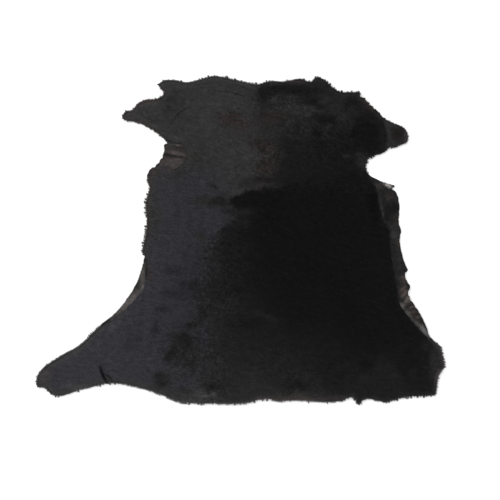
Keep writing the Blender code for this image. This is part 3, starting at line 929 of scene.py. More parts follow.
@dataclass
class HideForm:
    """The heights of the leather and the depth of the wool on it, in millimetres."""

    solid: SolidHide
    thickness: float = 1.6
    shortest: float = 2.2
    first_hair: float = 1.0
    ragged: Pairs = ((2.0, 9.0), (1.2, 3.5))
    wrinkle: float = 0.6
    wrinkle_length: float = 9.0
    cockle: float = 0.5
    cockle_length: float = 26.0
    fold_warps: Pairs = ((2.6, 13.0), (1.3, 5.0))

    def gaps(self, points: np.ndarray) -> np.ndarray:
        """Distance of each point to each bare outline, below 0 on bare leather.

        Args:
            points: rows of x and y.

        Returns:
            One row of distances for each outline.
        """
        torn = NOISE.layered(points, self.ragged, Layer.WOOL_LINE)
        rows = []
        for outline in BARE_OUTLINES.values():
            loop = np.array(outline.points, float)
            gap, _ = distance_to_line(points, np.concatenate((loop, loop[:1])))
            rows.append(np.where(inside(points, loop), -gap, gap) + torn)
        return np.array(rows)

    def cover(self, points: np.ndarray) -> np.ndarray:
        """Share of its full depth that the wool has at each point, 0 on bare leather."""
        soft = np.array([outline.soft for outline in BARE_OUTLINES.values()])
        return smooth_step((self.gaps(points[:, :2]) + self.first_hair) / soft[:, None]).min(0)

    def wool(self, points: np.ndarray) -> np.ndarray:
        """Depth of the wool over the leather at each point."""
        return np.maximum(self.solid.read(self.solid.wool_map, points), self.shortest) * self.cover(points)

    def under(self, points: np.ndarray) -> np.ndarray:
        """Height of the leather's underside at each point, wrinkled and folded where it is bare.

        Args:
            points: rows of x and y.

        Returns:
            One height for each point.
        """
        crumple = 1.0 - np.abs(NOISE.at(points, self.wrinkle_length, Layer.WRINKLES))
        fine = self.wrinkle * crumple**3 + self.cockle * NOISE.at(points, self.cockle_length, Layer.SKIN)
        height = self.solid.read(self.solid.under_map, points) + (1.0 - self.cover(points)) * fine
        place = warped(points, self.fold_warps)
        for fold in SKIN_FOLDS.values():
            height -= fold.depth * crease_share(place, fold)
        return np.maximum(height, 0.0)

    def top(self, points: np.ndarray) -> np.ndarray:
        """Height of the leather's upper face at each point."""
        return self.under(points) + self.thickness


@dataclass
class CutEdge:
    """The hide's cut edge in short even steps, a little torn."""

    form: HideForm
    step: float = 2.0
    tears: Pairs = ((1.0, 6.0), (0.5, 3.0))
    ragged: float = 0.45
    bare_ragged: float = 1.1
    tear_length: float = 8.0
    look_in: float = 15.0
    most_gain: float = 3.0
    bare_below: float = 0.8
    woolly_above: float = 3.5
    inset: float = 1.6
    reach_step: float = 0.5
    longest_reach: float = 9.0
    points: np.ndarray = field(init=False)
    normals: np.ndarray = field(init=False)
    woolly: np.ndarray = field(init=False)
    reach: np.ndarray = field(init=False)
    tear: np.ndarray = field(init=False)
    tree: kdtree.KDTree = field(init=False)

    def __post_init__(self) -> None:
        """Step along the solid's edge, tear it a little and note where it is woolly."""
        points = self.stepped(self.form.solid.edge[:, :2])
        way = unit_rows(np.roll(points, -2, axis=0) - np.roll(points, 2, axis=0))
        self.normals = np.stack((way[:, 1], -way[:, 0]), axis=1)
        further_in = self.form.wool(points - self.normals * self.look_in)
        depth = np.minimum(further_in, self.form.wool(points) * self.most_gain)
        self.woolly = smooth_step((depth - self.bare_below) / (self.woolly_above - self.bare_below))
        torn = NOISE.layered(points, self.tears, Layer.EDGE)
        torn *= self.ragged * self.woolly + self.bare_ragged * (1.0 - self.woolly)
        self.tear = local_amount(points, 0.0, TORN_EDGE)
        torn += self.tear * NOISE.at(points, self.tear_length, Layer.WOOL_LINE)
        self.points = points + self.normals * (torn - self.inset * self.woolly)[:, None]
        steps = np.arange(self.reach_step, self.longest_reach, self.reach_step)
        within = [inside(self.points + self.normals * step, self.form.solid.wool_rim) for step in steps]
        self.reach = np.cumprod(within, axis=0).sum(0) * self.reach_step
        self.tree = kdtree.KDTree(len(self.points))
        for index, point in enumerate(self.points):
            self.tree.insert((*point, 0.0), index)
        self.tree.balance()

    def stepped(self, loop: np.ndarray) -> np.ndarray:
        """Even steps along a smooth curve through a loop's points.

        Args:
            loop: rows of x and y.

        Returns:
            Rows of x and y along the curve.
        """
        after = np.roll(loop, -1, axis=0)
        chord = np.linalg.norm(after - loop, axis=1)
        slope = unit_rows(after - np.roll(loop, 1, axis=0))
        rows = []
        for index, (start, end) in enumerate(zip(loop, after)):
            leave, arrive = (slope[number % len(loop)] * chord[index] for number in (index, index + 1))
            count = max(1, round(chord[index] / self.step))
            share = (np.arange(count) / count)[:, None]
            ends = start + (end - start) * smooth_step(share)
            rows.append(ends + leave * share * (1.0 - share) ** 2 - arrive * share**2 * (1.0 - share))
        return np.concatenate(rows)

    def nearest(self, points: np.ndarray) -> tuple[np.ndarray, np.ndarray]:
        """The nearest place of the cut edge to each point: its number, and the distance."""
        found = [self.tree.find((x, y, 0.0)) for x, y in points[:, :2].tolist()]
        return np.array([index for _, index, _ in found]), np.array([gap for _, _, gap in found])

    def lattice(self, step: float, jitter: float, seed: int) -> np.ndarray:
        """Uneven triangular lattice of points inside the edge.

        Args:
            step: spacing of the points.
            jitter: how far a point may stray, as a share of the spacing.
            seed: of the random draw.

        Returns:
            Rows of x and y.
        """
        places = triangle_lattice(self.points.min(0), self.points.max(0), step, jitter, seed)
        return places[inside(places, self.points)]


@dataclass
class NapMap:
    """How light and how tinted the wool is at each place, with the nap's sheen and shade painted in, and
    which way it leans.
    """

    edge: CutEdge
    warps: Pairs = ((7.0, 24.0), (4.0, 8.0))
    even_mottle: Pairs = ((0.05, 11.0), (0.07, 5.0))
    mixed_mottle: Pairs = ((0.12, 14.0), (0.22, 6.5), (0.5, 2.6))
    rust_mottle: float = 0.8
    rust_length: float = 10.0
    blue_fade: float = 30.0
    rim_reach: float = 16.0
    spine_x: float = 40.0
    spine_reach: float = 260.0
    outward_lean: float = 0.9
    light_way: tuple[float, float] = (-0.75, 0.65)

    @staticmethod
    def blended(points: np.ndarray, regions: dict[str, Shade]) -> np.ndarray:
        """Blend the shades of some regions.

        Args:
            points: rows of x and y.
            regions: the shades by name.

        Returns:
            Rows of grey, blue and rust.
        """
        total = np.zeros((len(points), 3))
        weight = np.zeros(len(points))
        for shade in regions.values():
            gap = np.hypot(points[:, 0] - shade.x, points[:, 1] - shade.y) / shade.reach
            share = np.exp(-0.5 * gap * gap) + TINY / (1.0 + gap**4)
            total += share[:, None] * (shade.grey, shade.blue, shade.rust)
            weight += share
        return total / weight[:, None]

    @staticmethod
    def light_share(points: np.ndarray) -> np.ndarray:
        """Share of the light nap at each point, from 0 on the dark side to 1.

        Args:
            points: rows of x and y.

        Returns:
            One share for each point.
        """
        marks = np.array(NAP_LINE, float)
        line, spread = marks[:, :2], marks[:, 2]
        gap, along = distance_to_line(points, line)
        width = np.interp(along, np.arange(len(line)), spread)
        dark = inside(points, np.concatenate((line, np.array(NAP_CORNERS, float))))
        return smooth_step(0.5 + 0.5 * np.where(dark, -gap, gap) / width)

    def shades(self, points: np.ndarray) -> np.ndarray:
        """Light that the wool sends back at each point, with painted sheen, shade and rim light, and its
        tints.

        Args:
            points: rows of x and y.

        Returns:
            Rows of the share of light sent back, blue and rust.
        """
        place = warped(points, self.warps)
        light = self.light_share(place)[:, None]
        # The nap's painted sheen and painted shade are blended into the wool's tone.
        tones = self.blended(place, NAP_SHEEN_PAINTED) * light + self.blended(place, NAP_SHADE_PAINTED) * (1.0 - light)
        # Patches of tone, with painted highlights and shadows among them.
        tones = patched(place, tones, WOOL_TONES_AND_PAINTED_LIGHT)
        mixed = local_amount(place, 4.0 * light * (1.0 - light), MOTTLED)
        uneven = 1.0 + NOISE.layered(points, self.even_mottle, Layer.MOTTLE, streaked=True)
        uneven += mixed * NOISE.layered(points, self.mixed_mottle, Layer.STREAKS, streaked=True)
        grey = tones[:, 0] * uneven
        # Painted shade along the wool's creases.
        for crease in WOOL_CREASES.values():
            grey = grey * (1.0 - crease.dark * crease_share(points[:, :2], crease))
        rusty = 1.0 + self.rust_mottle * NOISE.at(points, self.rust_length, Layer.SKIN)
        _, gap = self.edge.nearest(points)
        # Painted light at the cut edge, which lifts the shade on the rim's locks, with a browner tint.
        rim = 1.0 - smooth_step(gap / self.rim_reach)
        worn = patched(points[:, :2], np.tile(RIM_LIGHT_AND_BROWN, (len(points), 1)), RIM_LIGHTS_AND_BROWNS)
        level = sent_back(grey + rim * worn[:, 0])
        blue = tones[:, 1] * smooth_step(gap / self.blue_fade)
        rust = tones[:, 2] * np.maximum(rusty, 0.0) + rim * worn[:, 2]
        return np.stack((level, blue, rust), axis=1)

    def flow(self, points: np.ndarray) -> np.ndarray:
        """Way the wool leans: outward and to the rump, but brushed back where it looks light.

        Args:
            points: rows of x and y.

        Returns:
            Rows of x and y, of length 1 at most.
        """
        out = np.clip((points[:, 0] - self.spine_x) / self.spine_reach, -1.0, 1.0) * self.outward_lean
        grown = unit_rows(np.stack((out, -np.ones(len(points))), axis=1))
        light = self.light_share(warped(points, self.warps))[:, None]
        return grown * (1.0 - light) + np.array(self.light_way) * light


def placed(name: str, data: bpy.types.ID) -> bpy.types.Object:
    """Put a new object in the scene.

    Args:
        name: of the object.
        data: its mesh, lamp or camera.

    Returns:
        The object.
    """
    thing = bpy.data.objects.new(name, data)
    bpy.context.scene.collection.objects.link(thing)
    return thing


@dataclass
class Part:
    """Vertices, triangles and values of one piece before it becomes a mesh."""

    points: np.ndarray
    faces: np.ndarray
    values: dict[str, np.ndarray]
    materials: list[bpy.types.Material]
    material_numbers: np.ndarray | None = None
    sharp_angle: float | None = None
    map_slant: float = 0.35

    def build(self, name: str, slot: Slot) -> bpy.types.Object:
        """Make the piece's object, and let it ride with the hide and stand for it.

        Args:
            name: of the piece.
            slot: not used.

        Returns:
            The new object.
        """
        mesh = bpy.data.meshes.new(name)
        mesh.vertices.add(len(self.points))
        mesh.vertices.foreach_set("co", (self.points * METRES).astype(np.float32).ravel())
        mesh.loops.add(self.faces.size)
        mesh.loops.foreach_set("vertex_index", self.faces.astype(np.int32).ravel())
        mesh.polygons.add(len(self.faces))
        mesh.polygons.foreach_set("loop_start", np.arange(0, self.faces.size, 3, dtype=np.int32))
        for material in self.materials:
            mesh.materials.append(material)
        if self.material_numbers is not None:
            mesh.polygons.foreach_set("material_index", self.material_numbers.astype(np.int32))
        mesh.update(calc_edges=True)
        mesh.shade_smooth()
        if self.sharp_angle is not None:
            mesh.set_sharp_from_angle(angle=math.radians(self.sharp_angle))
        for label, value in self.values.items():
            store = mesh.attributes.new(label, "FLOAT", "POINT")
            store.data.foreach_set("value", value.astype(np.float32))
        self.add_map(mesh)
        piece = placed(name, mesh)
        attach(piece, BODY)
        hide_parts(NODE)
        log.info("%s: %d triangles", name, len(self.faces))
        return piece

    def add_map(self, mesh: bpy.types.Mesh) -> None:
        """Lay the piece out flat from above, slanted a little so that upright faces keep some width.

        Args:
            mesh: the piece's mesh.
        """
        slant = self.points[:, :2] + self.points[:, 2:] * self.map_slant
        low = slant.min(0)
        share = (slant - low) / float((slant.max(0) - low).max())
        layer = mesh.uv_layers.new(name="OFBake")
        layer.data.foreach_set("uv", share[self.faces.ravel()].astype(np.float32).ravel())


def joined(parts: list[Part]) -> Part:
    """Several parts of one material as one part.

    Args:
        parts: the parts, which hold the same kinds of values.

    Returns:
        The joined part.
    """
    starts = np.cumsum([0] + [len(part.points) for part in parts[:-1]])
    faces = np.concatenate([part.faces + start for part, start in zip(parts, starts)])
    values = {label: np.concatenate([part.values[label] for part in parts]) for label in parts[0].values}
    return Part(np.concatenate([part.points for part in parts]), faces, values, parts[0].materials)


@dataclass
class NodeDesk:
    """Adds and links the nodes of one tree."""

    tree: bpy.types.NodeTree

    def add(self, kind: str, **inputs: object) -> bpy.types.Node:
        """Add a node and feed its inputs.

        Args:
            kind: the node's type.
            inputs: sockets to link or values to set, by input name with _ for a space.

        Returns:
            The new node.
        """
        node = self.tree.nodes.new(kind)
        self.fill(node, **inputs)
        return node

    def fill(self, node: bpy.types.Node, **inputs: object) -> None:
        """Feed a node's inputs, by name with _ for a space."""
        for label, value in inputs.items():
            self.feed(node.inputs[label.replace("_", " ")], value)

    def feed(self, socket: Socket, value: object) -> None:
        """Link an input, or set its value.

        Args:
            socket: the input.
            value: the socket to link it to, or a plain value.
        """
        if isinstance(value, Socket):
            self.tree.links.new(value, socket)
        else:
            socket.default_value = value

    def math(self, operation: str, first: object, second: object, clamp: bool = False) -> Socket:
        """The result of a Math node.

        Args:
            operation: the node's operation.
            first: its first input.
            second: its second input.
            clamp: whether the result stays from 0 to 1.

        Returns:
            The node's output.
        """
        node = self.tree.nodes.new("ShaderNodeMath")
        node.operation = operation
        node.use_clamp = clamp
        self.feed(node.inputs[0], first)
        self.feed(node.inputs[1], second)
        return node.outputs[0]

    def plus(self, first: object, second: object) -> Socket:
        """The sum of two inputs."""
        return self.math("ADD", first, second)

    def less(self, first: object, second: object) -> Socket:
        """The first input less the second."""
        return self.math("SUBTRACT", first, second)

    def times(self, first: object, second: object) -> Socket:
        """The product of two inputs."""
        return self.math("MULTIPLY", first, second)

    def noise(self, place: object, scale: object, detail: float, roughness: float = 0.55) -> Socket:
        """Noise from 0 to 1 at a place.

        Args:
            place: socket with the coordinates.
            scale: lumps for each metre.
            detail: number of finer layers.
            roughness: strength of the finer layers.

        Returns:
            The noise's output.
        """
        node = self.add("ShaderNodeTexNoise", Vector=place, Scale=scale, Detail=detail, Roughness=roughness)
        return node.outputs["Fac"]

    def value(self, label: str) -> Socket:
        """A value that is stored on the mesh.

        Args:
            label: the value's name.

        Returns:
            The attribute's output.
        """
        node = self.tree.nodes.new("ShaderNodeAttribute")
        node.attribute_name = label
        return node.outputs["Fac"]

    def coordinates(self) -> Socket:
        """The object's own coordinates, in metres."""
        return self.tree.nodes.new("ShaderNodeTexCoord").outputs["Object"]


@dataclass
class ShaderGroup:
    """A node group with named inputs and outputs, built once."""

    name: str
    inputs: dict[str, float | None]
    outputs: dict[str, str]
    tree: bpy.types.NodeTree = field(init=False)
    desk: NodeDesk = field(init=False)
    given: bpy.types.NodeOutputs = field(init=False)
    target: bpy.types.Node = field(init=False)

    def __post_init__(self) -> None:
        """Make the group's tree and its sockets."""
        self.tree = bpy.data.node_groups.new(self.name, "ShaderNodeTree")
        for label, value in self.inputs.items():
            kind = "NodeSocketVector" if value is None else "NodeSocketFloat"
            socket = self.tree.interface.new_socket(label, in_out="INPUT", socket_type=kind)
            if value is not None:
                socket.default_value = value
        for label, kind in self.outputs.items():
            self.tree.interface.new_socket(label, in_out="OUTPUT", socket_type=kind)
        self.desk = NodeDesk(self.tree)
        self.given = self.tree.nodes.new("NodeGroupInput").outputs
        self.target = self.tree.nodes.new("NodeGroupOutput")

    def place(self, desk: NodeDesk, **inputs: object) -> bpy.types.Node:
        """Use the group in a material.

        Args:
            desk: the material's node desk.
            inputs: sockets or values by input name, with _ for a space.

        Returns:
            The group's node.
        """
        node = desk.tree.nodes.new("ShaderNodeGroup")
        node.node_tree = self.tree
        desk.fill(node, **inputs)
        return node


class Effects:
    """The effects that several finishes share."""

    COLOUR = "NodeSocketColor"
    VALUE = "NodeSocketFloat"
    RUST_RED = 0.13
    RUST_BLUE = -0.02
    COOL_RED = 0.035
    COOL_BLUE = 0.19
    PATCH_SCALE = 90.0
    PATCH_DETAIL = 3.0
    PEBBLE_SHARE = 0.35
    WRINKLE_DETAIL = 4.0
    WORN_DETAIL = 5.0
    GRAIN_ROUGHNESS = 0.6

    def __init__(self) -> None:
        """Build the shared groups."""
        self.tint = self.tinted()
        self.dye = self.dyed_wool()
        self.grain = self.hide_grain()

    def tinted(self) -> ShaderGroup:
        """A grey level with a blue and a rusty tint.

        Returns:
            The group.
        """
        group = ShaderGroup("tinted", {"Level": 0.02, "Blue": 0.0, "Rust": 0.0}, {"Color": self.COLOUR})
        desk, given = group.desk, group.given
        channels = []
        for rust, blue in ((self.RUST_RED, self.COOL_RED), (self.RUST_BLUE, self.COOL_BLUE)):
            tints = desk.plus(desk.times(given["Rust"], rust), desk.times(given["Blue"], blue))
            channels.append(desk.times(given["Level"], desk.plus(1.0, tints)))
        mixed = desk.add("ShaderNodeCombineColor", Red=channels[0], Green=given["Level"], Blue=channels[1])
        desk.fill(group.target, Color=mixed.outputs["Color"])
        return group

    def dyed_wool(self) -> ShaderGroup:
        """Light that the wool sends back: painted shade at the root, lighter towards the tip, and uneven
        from lock to lock.

        Returns:
            The group.
        """
        inputs = {"Place": None, "Shade": 0.02, "Chance": MEAN, "Tip": 1.0}
        contrasts = {"Root Shade": 0.5, "Lock Contrast": 0.2, "Patch Contrast": 0.2}
        group = ShaderGroup("dyed wool", {**inputs, **contrasts}, {"Level": self.VALUE})
        desk, given = group.desk, group.given
        patches = desk.less(desk.noise(given["Place"], self.PATCH_SCALE, self.PATCH_DETAIL), MEAN)
        patches = desk.times(patches, given["Patch Contrast"])
        locks = desk.times(desk.less(given["Chance"], MEAN), given["Lock Contrast"])
        uneven = desk.plus(1.0, desk.plus(patches, locks))
        # Painted shade at the root, rising to the full tone at the tip.
        rise = desk.times(desk.less(1.0, given["Root Shade"]), given["Tip"])
        level = desk.times(uneven, desk.plus(rise, given["Root Shade"]))
        desk.fill(group.target, Level=desk.times(given["Shade"], level))
        return group

    def hide_grain(self) -> ShaderGroup:
        """Grain of leather: a fine pebbled height, and a mask of worn patches.

        Returns:
            The group.
        """
        group = ShaderGroup(
            "hide grain",
            {"Place": None, "Pebble Scale": 700.0, "Wrinkle Scale": 120.0, "Patch Scale": 40.0},
            {"Height": self.VALUE, "Patches": self.VALUE},
        )
        desk, given = group.desk, group.given
        pebbles = desk.add("ShaderNodeTexVoronoi", Vector=given["Place"], Scale=given["Pebble Scale"])
        pebbles.feature = "SMOOTH_F1"
        wrinkling = (given["Wrinkle Scale"], self.WRINKLE_DETAIL, self.GRAIN_ROUGHNESS)
        wrinkles = desk.noise(given["Place"], *wrinkling)
        height = desk.plus(desk.times(pebbles.outputs["Distance"], self.PEBBLE_SHARE), wrinkles)
        wear = (given["Patch Scale"], self.WORN_DETAIL, self.GRAIN_ROUGHNESS)
        desk.fill(group.target, Height=height, Patches=desk.noise(given["Place"], *wear))
        return group


def new_material(name: str) -> tuple[NodeDesk, bpy.types.Node, bpy.types.Material]:
    """Make a material with an empty Principled BSDF.

    Args:
        name: of the material.

    Returns:
        Its node desk, its shader and the material.
    """
    material = bpy.data.materials.new(name)
    material.use_nodes = True
    return NodeDesk(material.node_tree), material.node_tree.nodes["Principled BSDF"], material


@dataclass(frozen=True)
class WoolFinish:
    """Dyed sheared wool: matt, with painted shade at its root, and a soft sheen."""

    name: str
    gain: float
    root_shade: float
    lock_contrast: float
    patch_contrast: float
    sheen: float = 0.025
    sheen_roughness: float = 0.35
    sheen_tint: tuple[float, float, float, float] = (0.8, 0.82, 0.88, 1.0)
    roughness: float = 0.9
    specular: float = 0.033

    def build(self, effects: Effects) -> bpy.types.Material:
        """Make the material.

        Args:
            effects: the shared node groups.

        Returns:
            The material.
        """
        desk, shader, material = new_material(self.name)
        shade, blue, rust, chance, tip = map(desk.value, ("shade", "blue", "rust", "chance", "tip"))
        dye = effects.dye.place(desk, Place=desk.coordinates(), Shade=desk.times(shade, self.gain))
        desk.fill(dye, Chance=chance, Tip=tip, Root_Shade=self.root_shade)
        desk.fill(dye, Lock_Contrast=self.lock_contrast, Patch_Contrast=self.patch_contrast)
        tint = effects.tint.place(desk, Level=dye.outputs["Level"], Blue=blue, Rust=rust)
        desk.fill(shader, Base_Color=tint.outputs["Color"], Roughness=self.roughness)
        desk.fill(shader, Specular_IOR_Level=self.specular, Sheen_Weight=self.sheen)
        desk.fill(shader, Sheen_Roughness=self.sheen_roughness, Sheen_Tint=self.sheen_tint)
        return material


@dataclass(frozen=True)
class HideFinish:
    """Leather: how light it is from worn to dark places, how rough it is and how strong its grain stands."""

    name: str
    dark: float
    light: float
    rust: float
    rough_low: float
    rough_high: float
    grain: float
    pebble_scale: float
    wrinkle_scale: float
    patch_scale: float
    toned: bool = False
    specular: float = 0.083
    sheen: float = 0.0
    worn_from: float = 0.3
    worn_gain: float = 2.5

    def build(self, effects: Effects) -> bpy.types.Material:
        """Make the material.

        Args:
            effects: the shared node groups.

        Returns:
            The material.
        """
        desk, shader, material = new_material(self.name)
        grain = effects.grain.place(desk, Place=desk.coordinates(), Pebble_Scale=self.pebble_scale)
        desk.fill(grain, Wrinkle_Scale=self.wrinkle_scale, Patch_Scale=self.patch_scale)
        height, patches = grain.outputs["Height"], grain.outputs["Patches"]
        worn = desk.math("MULTIPLY", desk.less(patches, self.worn_from), self.worn_gain, clamp=True)
        level = desk.plus(desk.times(worn, self.light - self.dark), self.dark)
        rust, blue = self.rust, 0.0
        if self.toned:
            level = desk.times(level, desk.value("shade"))
            rust, blue = desk.value("rust"), desk.value("blue")
        tint = effects.tint.place(desk, Level=level, Rust=rust, Blue=blue)
        rough = desk.times(patches, self.rough_high - self.rough_low)
        bump = desk.add("ShaderNodeBump", Height=height, Strength=self.grain, Distance=METRES)
        desk.fill(shader, Base_Color=tint.outputs["Color"], Roughness=desk.plus(rough, self.rough_low))
        desk.fill(shader, Normal=bump.outputs["Normal"], Specular_IOR_Level=self.specular)
        desk.fill(shader, Sheen_Weight=self.sheen)
        return material


class Finishes:
    """Every finish of the hide, built once."""

    PILE = WoolFinish("pile locks", gain=1.71, root_shade=0.5, lock_contrast=0.6, patch_contrast=0.3)
    BED = WoolFinish("wool bed", gain=0.92, root_shade=1.0, lock_contrast=0.0, patch_contrast=0.5)
    RIM = WoolFinish("rim locks", gain=1.58, root_shade=0.6, lock_contrast=0.6, patch_contrast=0.2)
    GRAIN = HideFinish(
        name="bare leather", dark=0.65, light=1.0, rust=0.0, rough_low=0.25, rough_high=0.6, grain=0.55,
        pebble_scale=650.0, wrinkle_scale=160.0, patch_scale=55.0, toned=True,
    )
    SUEDE = HideFinish(
        name="suede side", dark=0.024, light=0.045, rust=0.6, rough_low=0.8, rough_high=0.98, grain=0.35,
        pebble_scale=1500.0, wrinkle_scale=60.0, patch_scale=14.0, sheen=0.1,
    )
    CUT = HideFinish(
        name="cut edge", dark=0.03, light=0.09, rust=0.8, rough_low=0.6, rough_high=0.9, grain=0.4,
        pebble_scale=1500.0, wrinkle_scale=400.0, patch_scale=90.0,
    )

    def __init__(self) -> None:
        """Build every material."""
        effects = Effects()
        wool, hide = (self.PILE, self.BED, self.RIM), (self.GRAIN, self.SUEDE, self.CUT)
        self.pile, self.bed, self.rim = (finish.build(effects) for finish in wool)
        self.grain, self.suede, self.cut = (finish.build(effects) for finish in hide)


@dataclass
class LeatherSheet:
    """The leather: one thin sheet under the wool, bare in places."""

    form: HideForm
    edge: CutEdge
    finishes: Finishes
    wide_step: float = 13.0
    rim_step: float = 6.0
    rim_band: float = 20.0
    bare_step: float = 2.4
    bare_cover: float = 0.35
    clear_of_edge: float = 1.3
    jitter: float = 0.18
    spare_light: float = 0.0105
    darkest: float = 0.0015
    mottle: Pairs = ((0.1, 12.0), (0.16, 5.0))
    sharp_angle: float = 50.0

    def inner_points(self) -> np.ndarray:
        """Points inside the edge: close together on bare leather and wide apart under the wool.

        Returns:
            Rows of x and y.
        """
        groups = []
        for number, step in enumerate((self.bare_step, self.rim_step, self.wide_step)):
            places = self.edge.lattice(step, self.jitter, number)
            _, gap = self.edge.nearest(places)
            bare = self.form.cover(places) < self.bare_cover
            wanted = (bare, ~bare & (gap < self.rim_band), ~bare & (gap >= self.rim_band))[number]
            groups.append(places[wanted & (gap > self.clear_of_edge)])
        return np.concatenate(groups)

    def build(self) -> bpy.types.Object:
        """Make the leather.

        Returns:
            The leather's object.
        """
        rim = self.edge.points
        inner = self.inner_points()
        flat = np.concatenate((rim, inner))
        faces = filled_loop(rim, inner)
        under = self.form.under(flat)
        upper = np.column_stack((flat, under + self.form.thickness))
        lower = np.column_stack((flat, under))
        count, around = len(flat), np.arange(len(rim))
        walls = walls_between(around + count, around)
        place = warped(flat, self.form.fold_warps)
        # The leather's tones, with painted highlights on its ridges and painted shade in its folds.
        tones = patched(place, np.tile((SKIN_GREY, 0.0, 0.0), (count, 1)), SKIN_TONES_AND_PAINTED_LIGHT)
        uneven = 1.0 + NOISE.layered(flat, self.mottle, Layer.MOTTLE)
        shade = np.maximum(sent_back(tones[:, 0] * uneven) - self.spare_light, self.darkest)
        values = {"shade": shade, "blue": tones[:, 1], "rust": tones[:, 2]}
        part = Part(
            np.concatenate((upper, lower)),
            np.concatenate((faces, faces[:, ::-1] + count, walls)),
            {label: np.tile(value, 2) for label, value in values.items()},
            [self.finishes.grain, self.finishes.suede, self.finishes.cut],
            np.concatenate((np.zeros(len(faces)), np.ones(len(faces)), np.full(len(walls), 2))),
            self.sharp_angle,
        )
        return part.build("leather", Slot.LEATHER)


@dataclass
class WoolBed:
    """The dense body of the wool, which the pile's locks stand on."""

    form: HideForm
    edge: CutEdge
    nap: NapMap
    finishes: Finishes
    share: float = 0.62
    thinnest: float = 0.2
    step: float = 3.5
    jitter: float = 0.2
    seed: int = 7
    least_depth: float = 1.6
    edge_gap: float = 1.0
    longest_side: float = 3.2
    lumps: Pairs = ((0.8, 12.0), (0.5, 5.0))
    full_depth: float = 8.0
    floor_step: float = 22.0
    floor_jitter: float = 0.1
    floor_seed: int = 8
    sunk: float = 0.5

    def upper(self, points: np.ndarray) -> np.ndarray:
        """Height of the bed's upper face above the ground.

        Args:
            points: rows of x and y.

        Returns:
            One height for each point.
        """
        depth = self.form.wool(points)
        relief = NOISE.layered(points, self.lumps, Layer.BED, streaked=True)
        for crease in WOOL_CREASES.values():
            relief -= crease.depth * crease_share(points, crease)
        relief *= np.clip(depth / self.full_depth, 0.0, 1.0)
        return self.form.top(points) + np.maximum(self.share * depth + relief, self.thinnest)

    def with_wool(self, points: np.ndarray, least: float, clear: float) -> np.ndarray:
        """The points where wool grows.

        Args:
            points: rows of x and y inside the cut edge.
            least: the shallowest wool that counts.
            clear: distance kept to the cut edge.

        Returns:
            The rows that are kept.
        """
        points = points[self.form.wool(points) > least]
        _, gap = self.edge.nearest(points)
        return points[gap >= clear]

    def build(self) -> bpy.types.Object:
        """Make the bed.

        Returns:
            The bed's object.
        """
        flat = self.edge.lattice(self.step, self.jitter, self.seed)
        flat = self.with_wool(flat, self.least_depth, self.edge_gap)
        _, _, faces, *_ = delaunay_2d_cdt([Vector(place) for place in flat], [], [], WHOLE_HULL, TINY)
        faces = np.array(faces)
        corners = flat[faces]
        sides = np.linalg.norm(corners - np.roll(corners, 1, axis=1), axis=2).max(1)
        faces = faces[sides < self.longest_side * self.step]
        rim = loops_of(faces)[0]
        return self.closed(flat, faces, rim).build("wool_bed", Slot.WOOL)

    def closed(self, flat: np.ndarray, faces: np.ndarray, rim: list[int]) -> Part:
        """Close the bed with a rim and a floor inside the leather.

        Args:
            flat: rows of x and y of the upper face.
            faces: its triangles.
            rim: point numbers along its outer loop.

        Returns:
            The closed bed.
        """
        loop, draw = flat[rim], (self.floor_step, self.floor_jitter, self.floor_seed)
        sparse = triangle_lattice(loop.min(0), loop.max(0), *draw)
        sparse = sparse[inside(sparse, loop)]
        _, gap = self.edge.nearest(sparse)
        floor_flat = np.concatenate((loop, sparse[gap > self.floor_step / 2.0]))
        floor_faces = filled_loop(loop, floor_flat[len(loop) :])[:, ::-1] + len(flat)
        floor = np.column_stack((floor_flat, self.form.top(floor_flat) - self.sunk))
        walls = walls_between(np.arange(len(rim)) + len(flat), np.array(rim))
        points = np.concatenate((np.column_stack((flat, self.upper(flat))), floor))
        shade, blue, rust = self.nap.shades(points).T
        values = {"shade": shade, "blue": blue, "rust": rust, "tip": np.ones(len(points))}
        values["chance"] = np.full(len(points), MEAN)
        return Part(points, np.concatenate((faces, walls, floor_faces)), values, [self.finishes.bed])


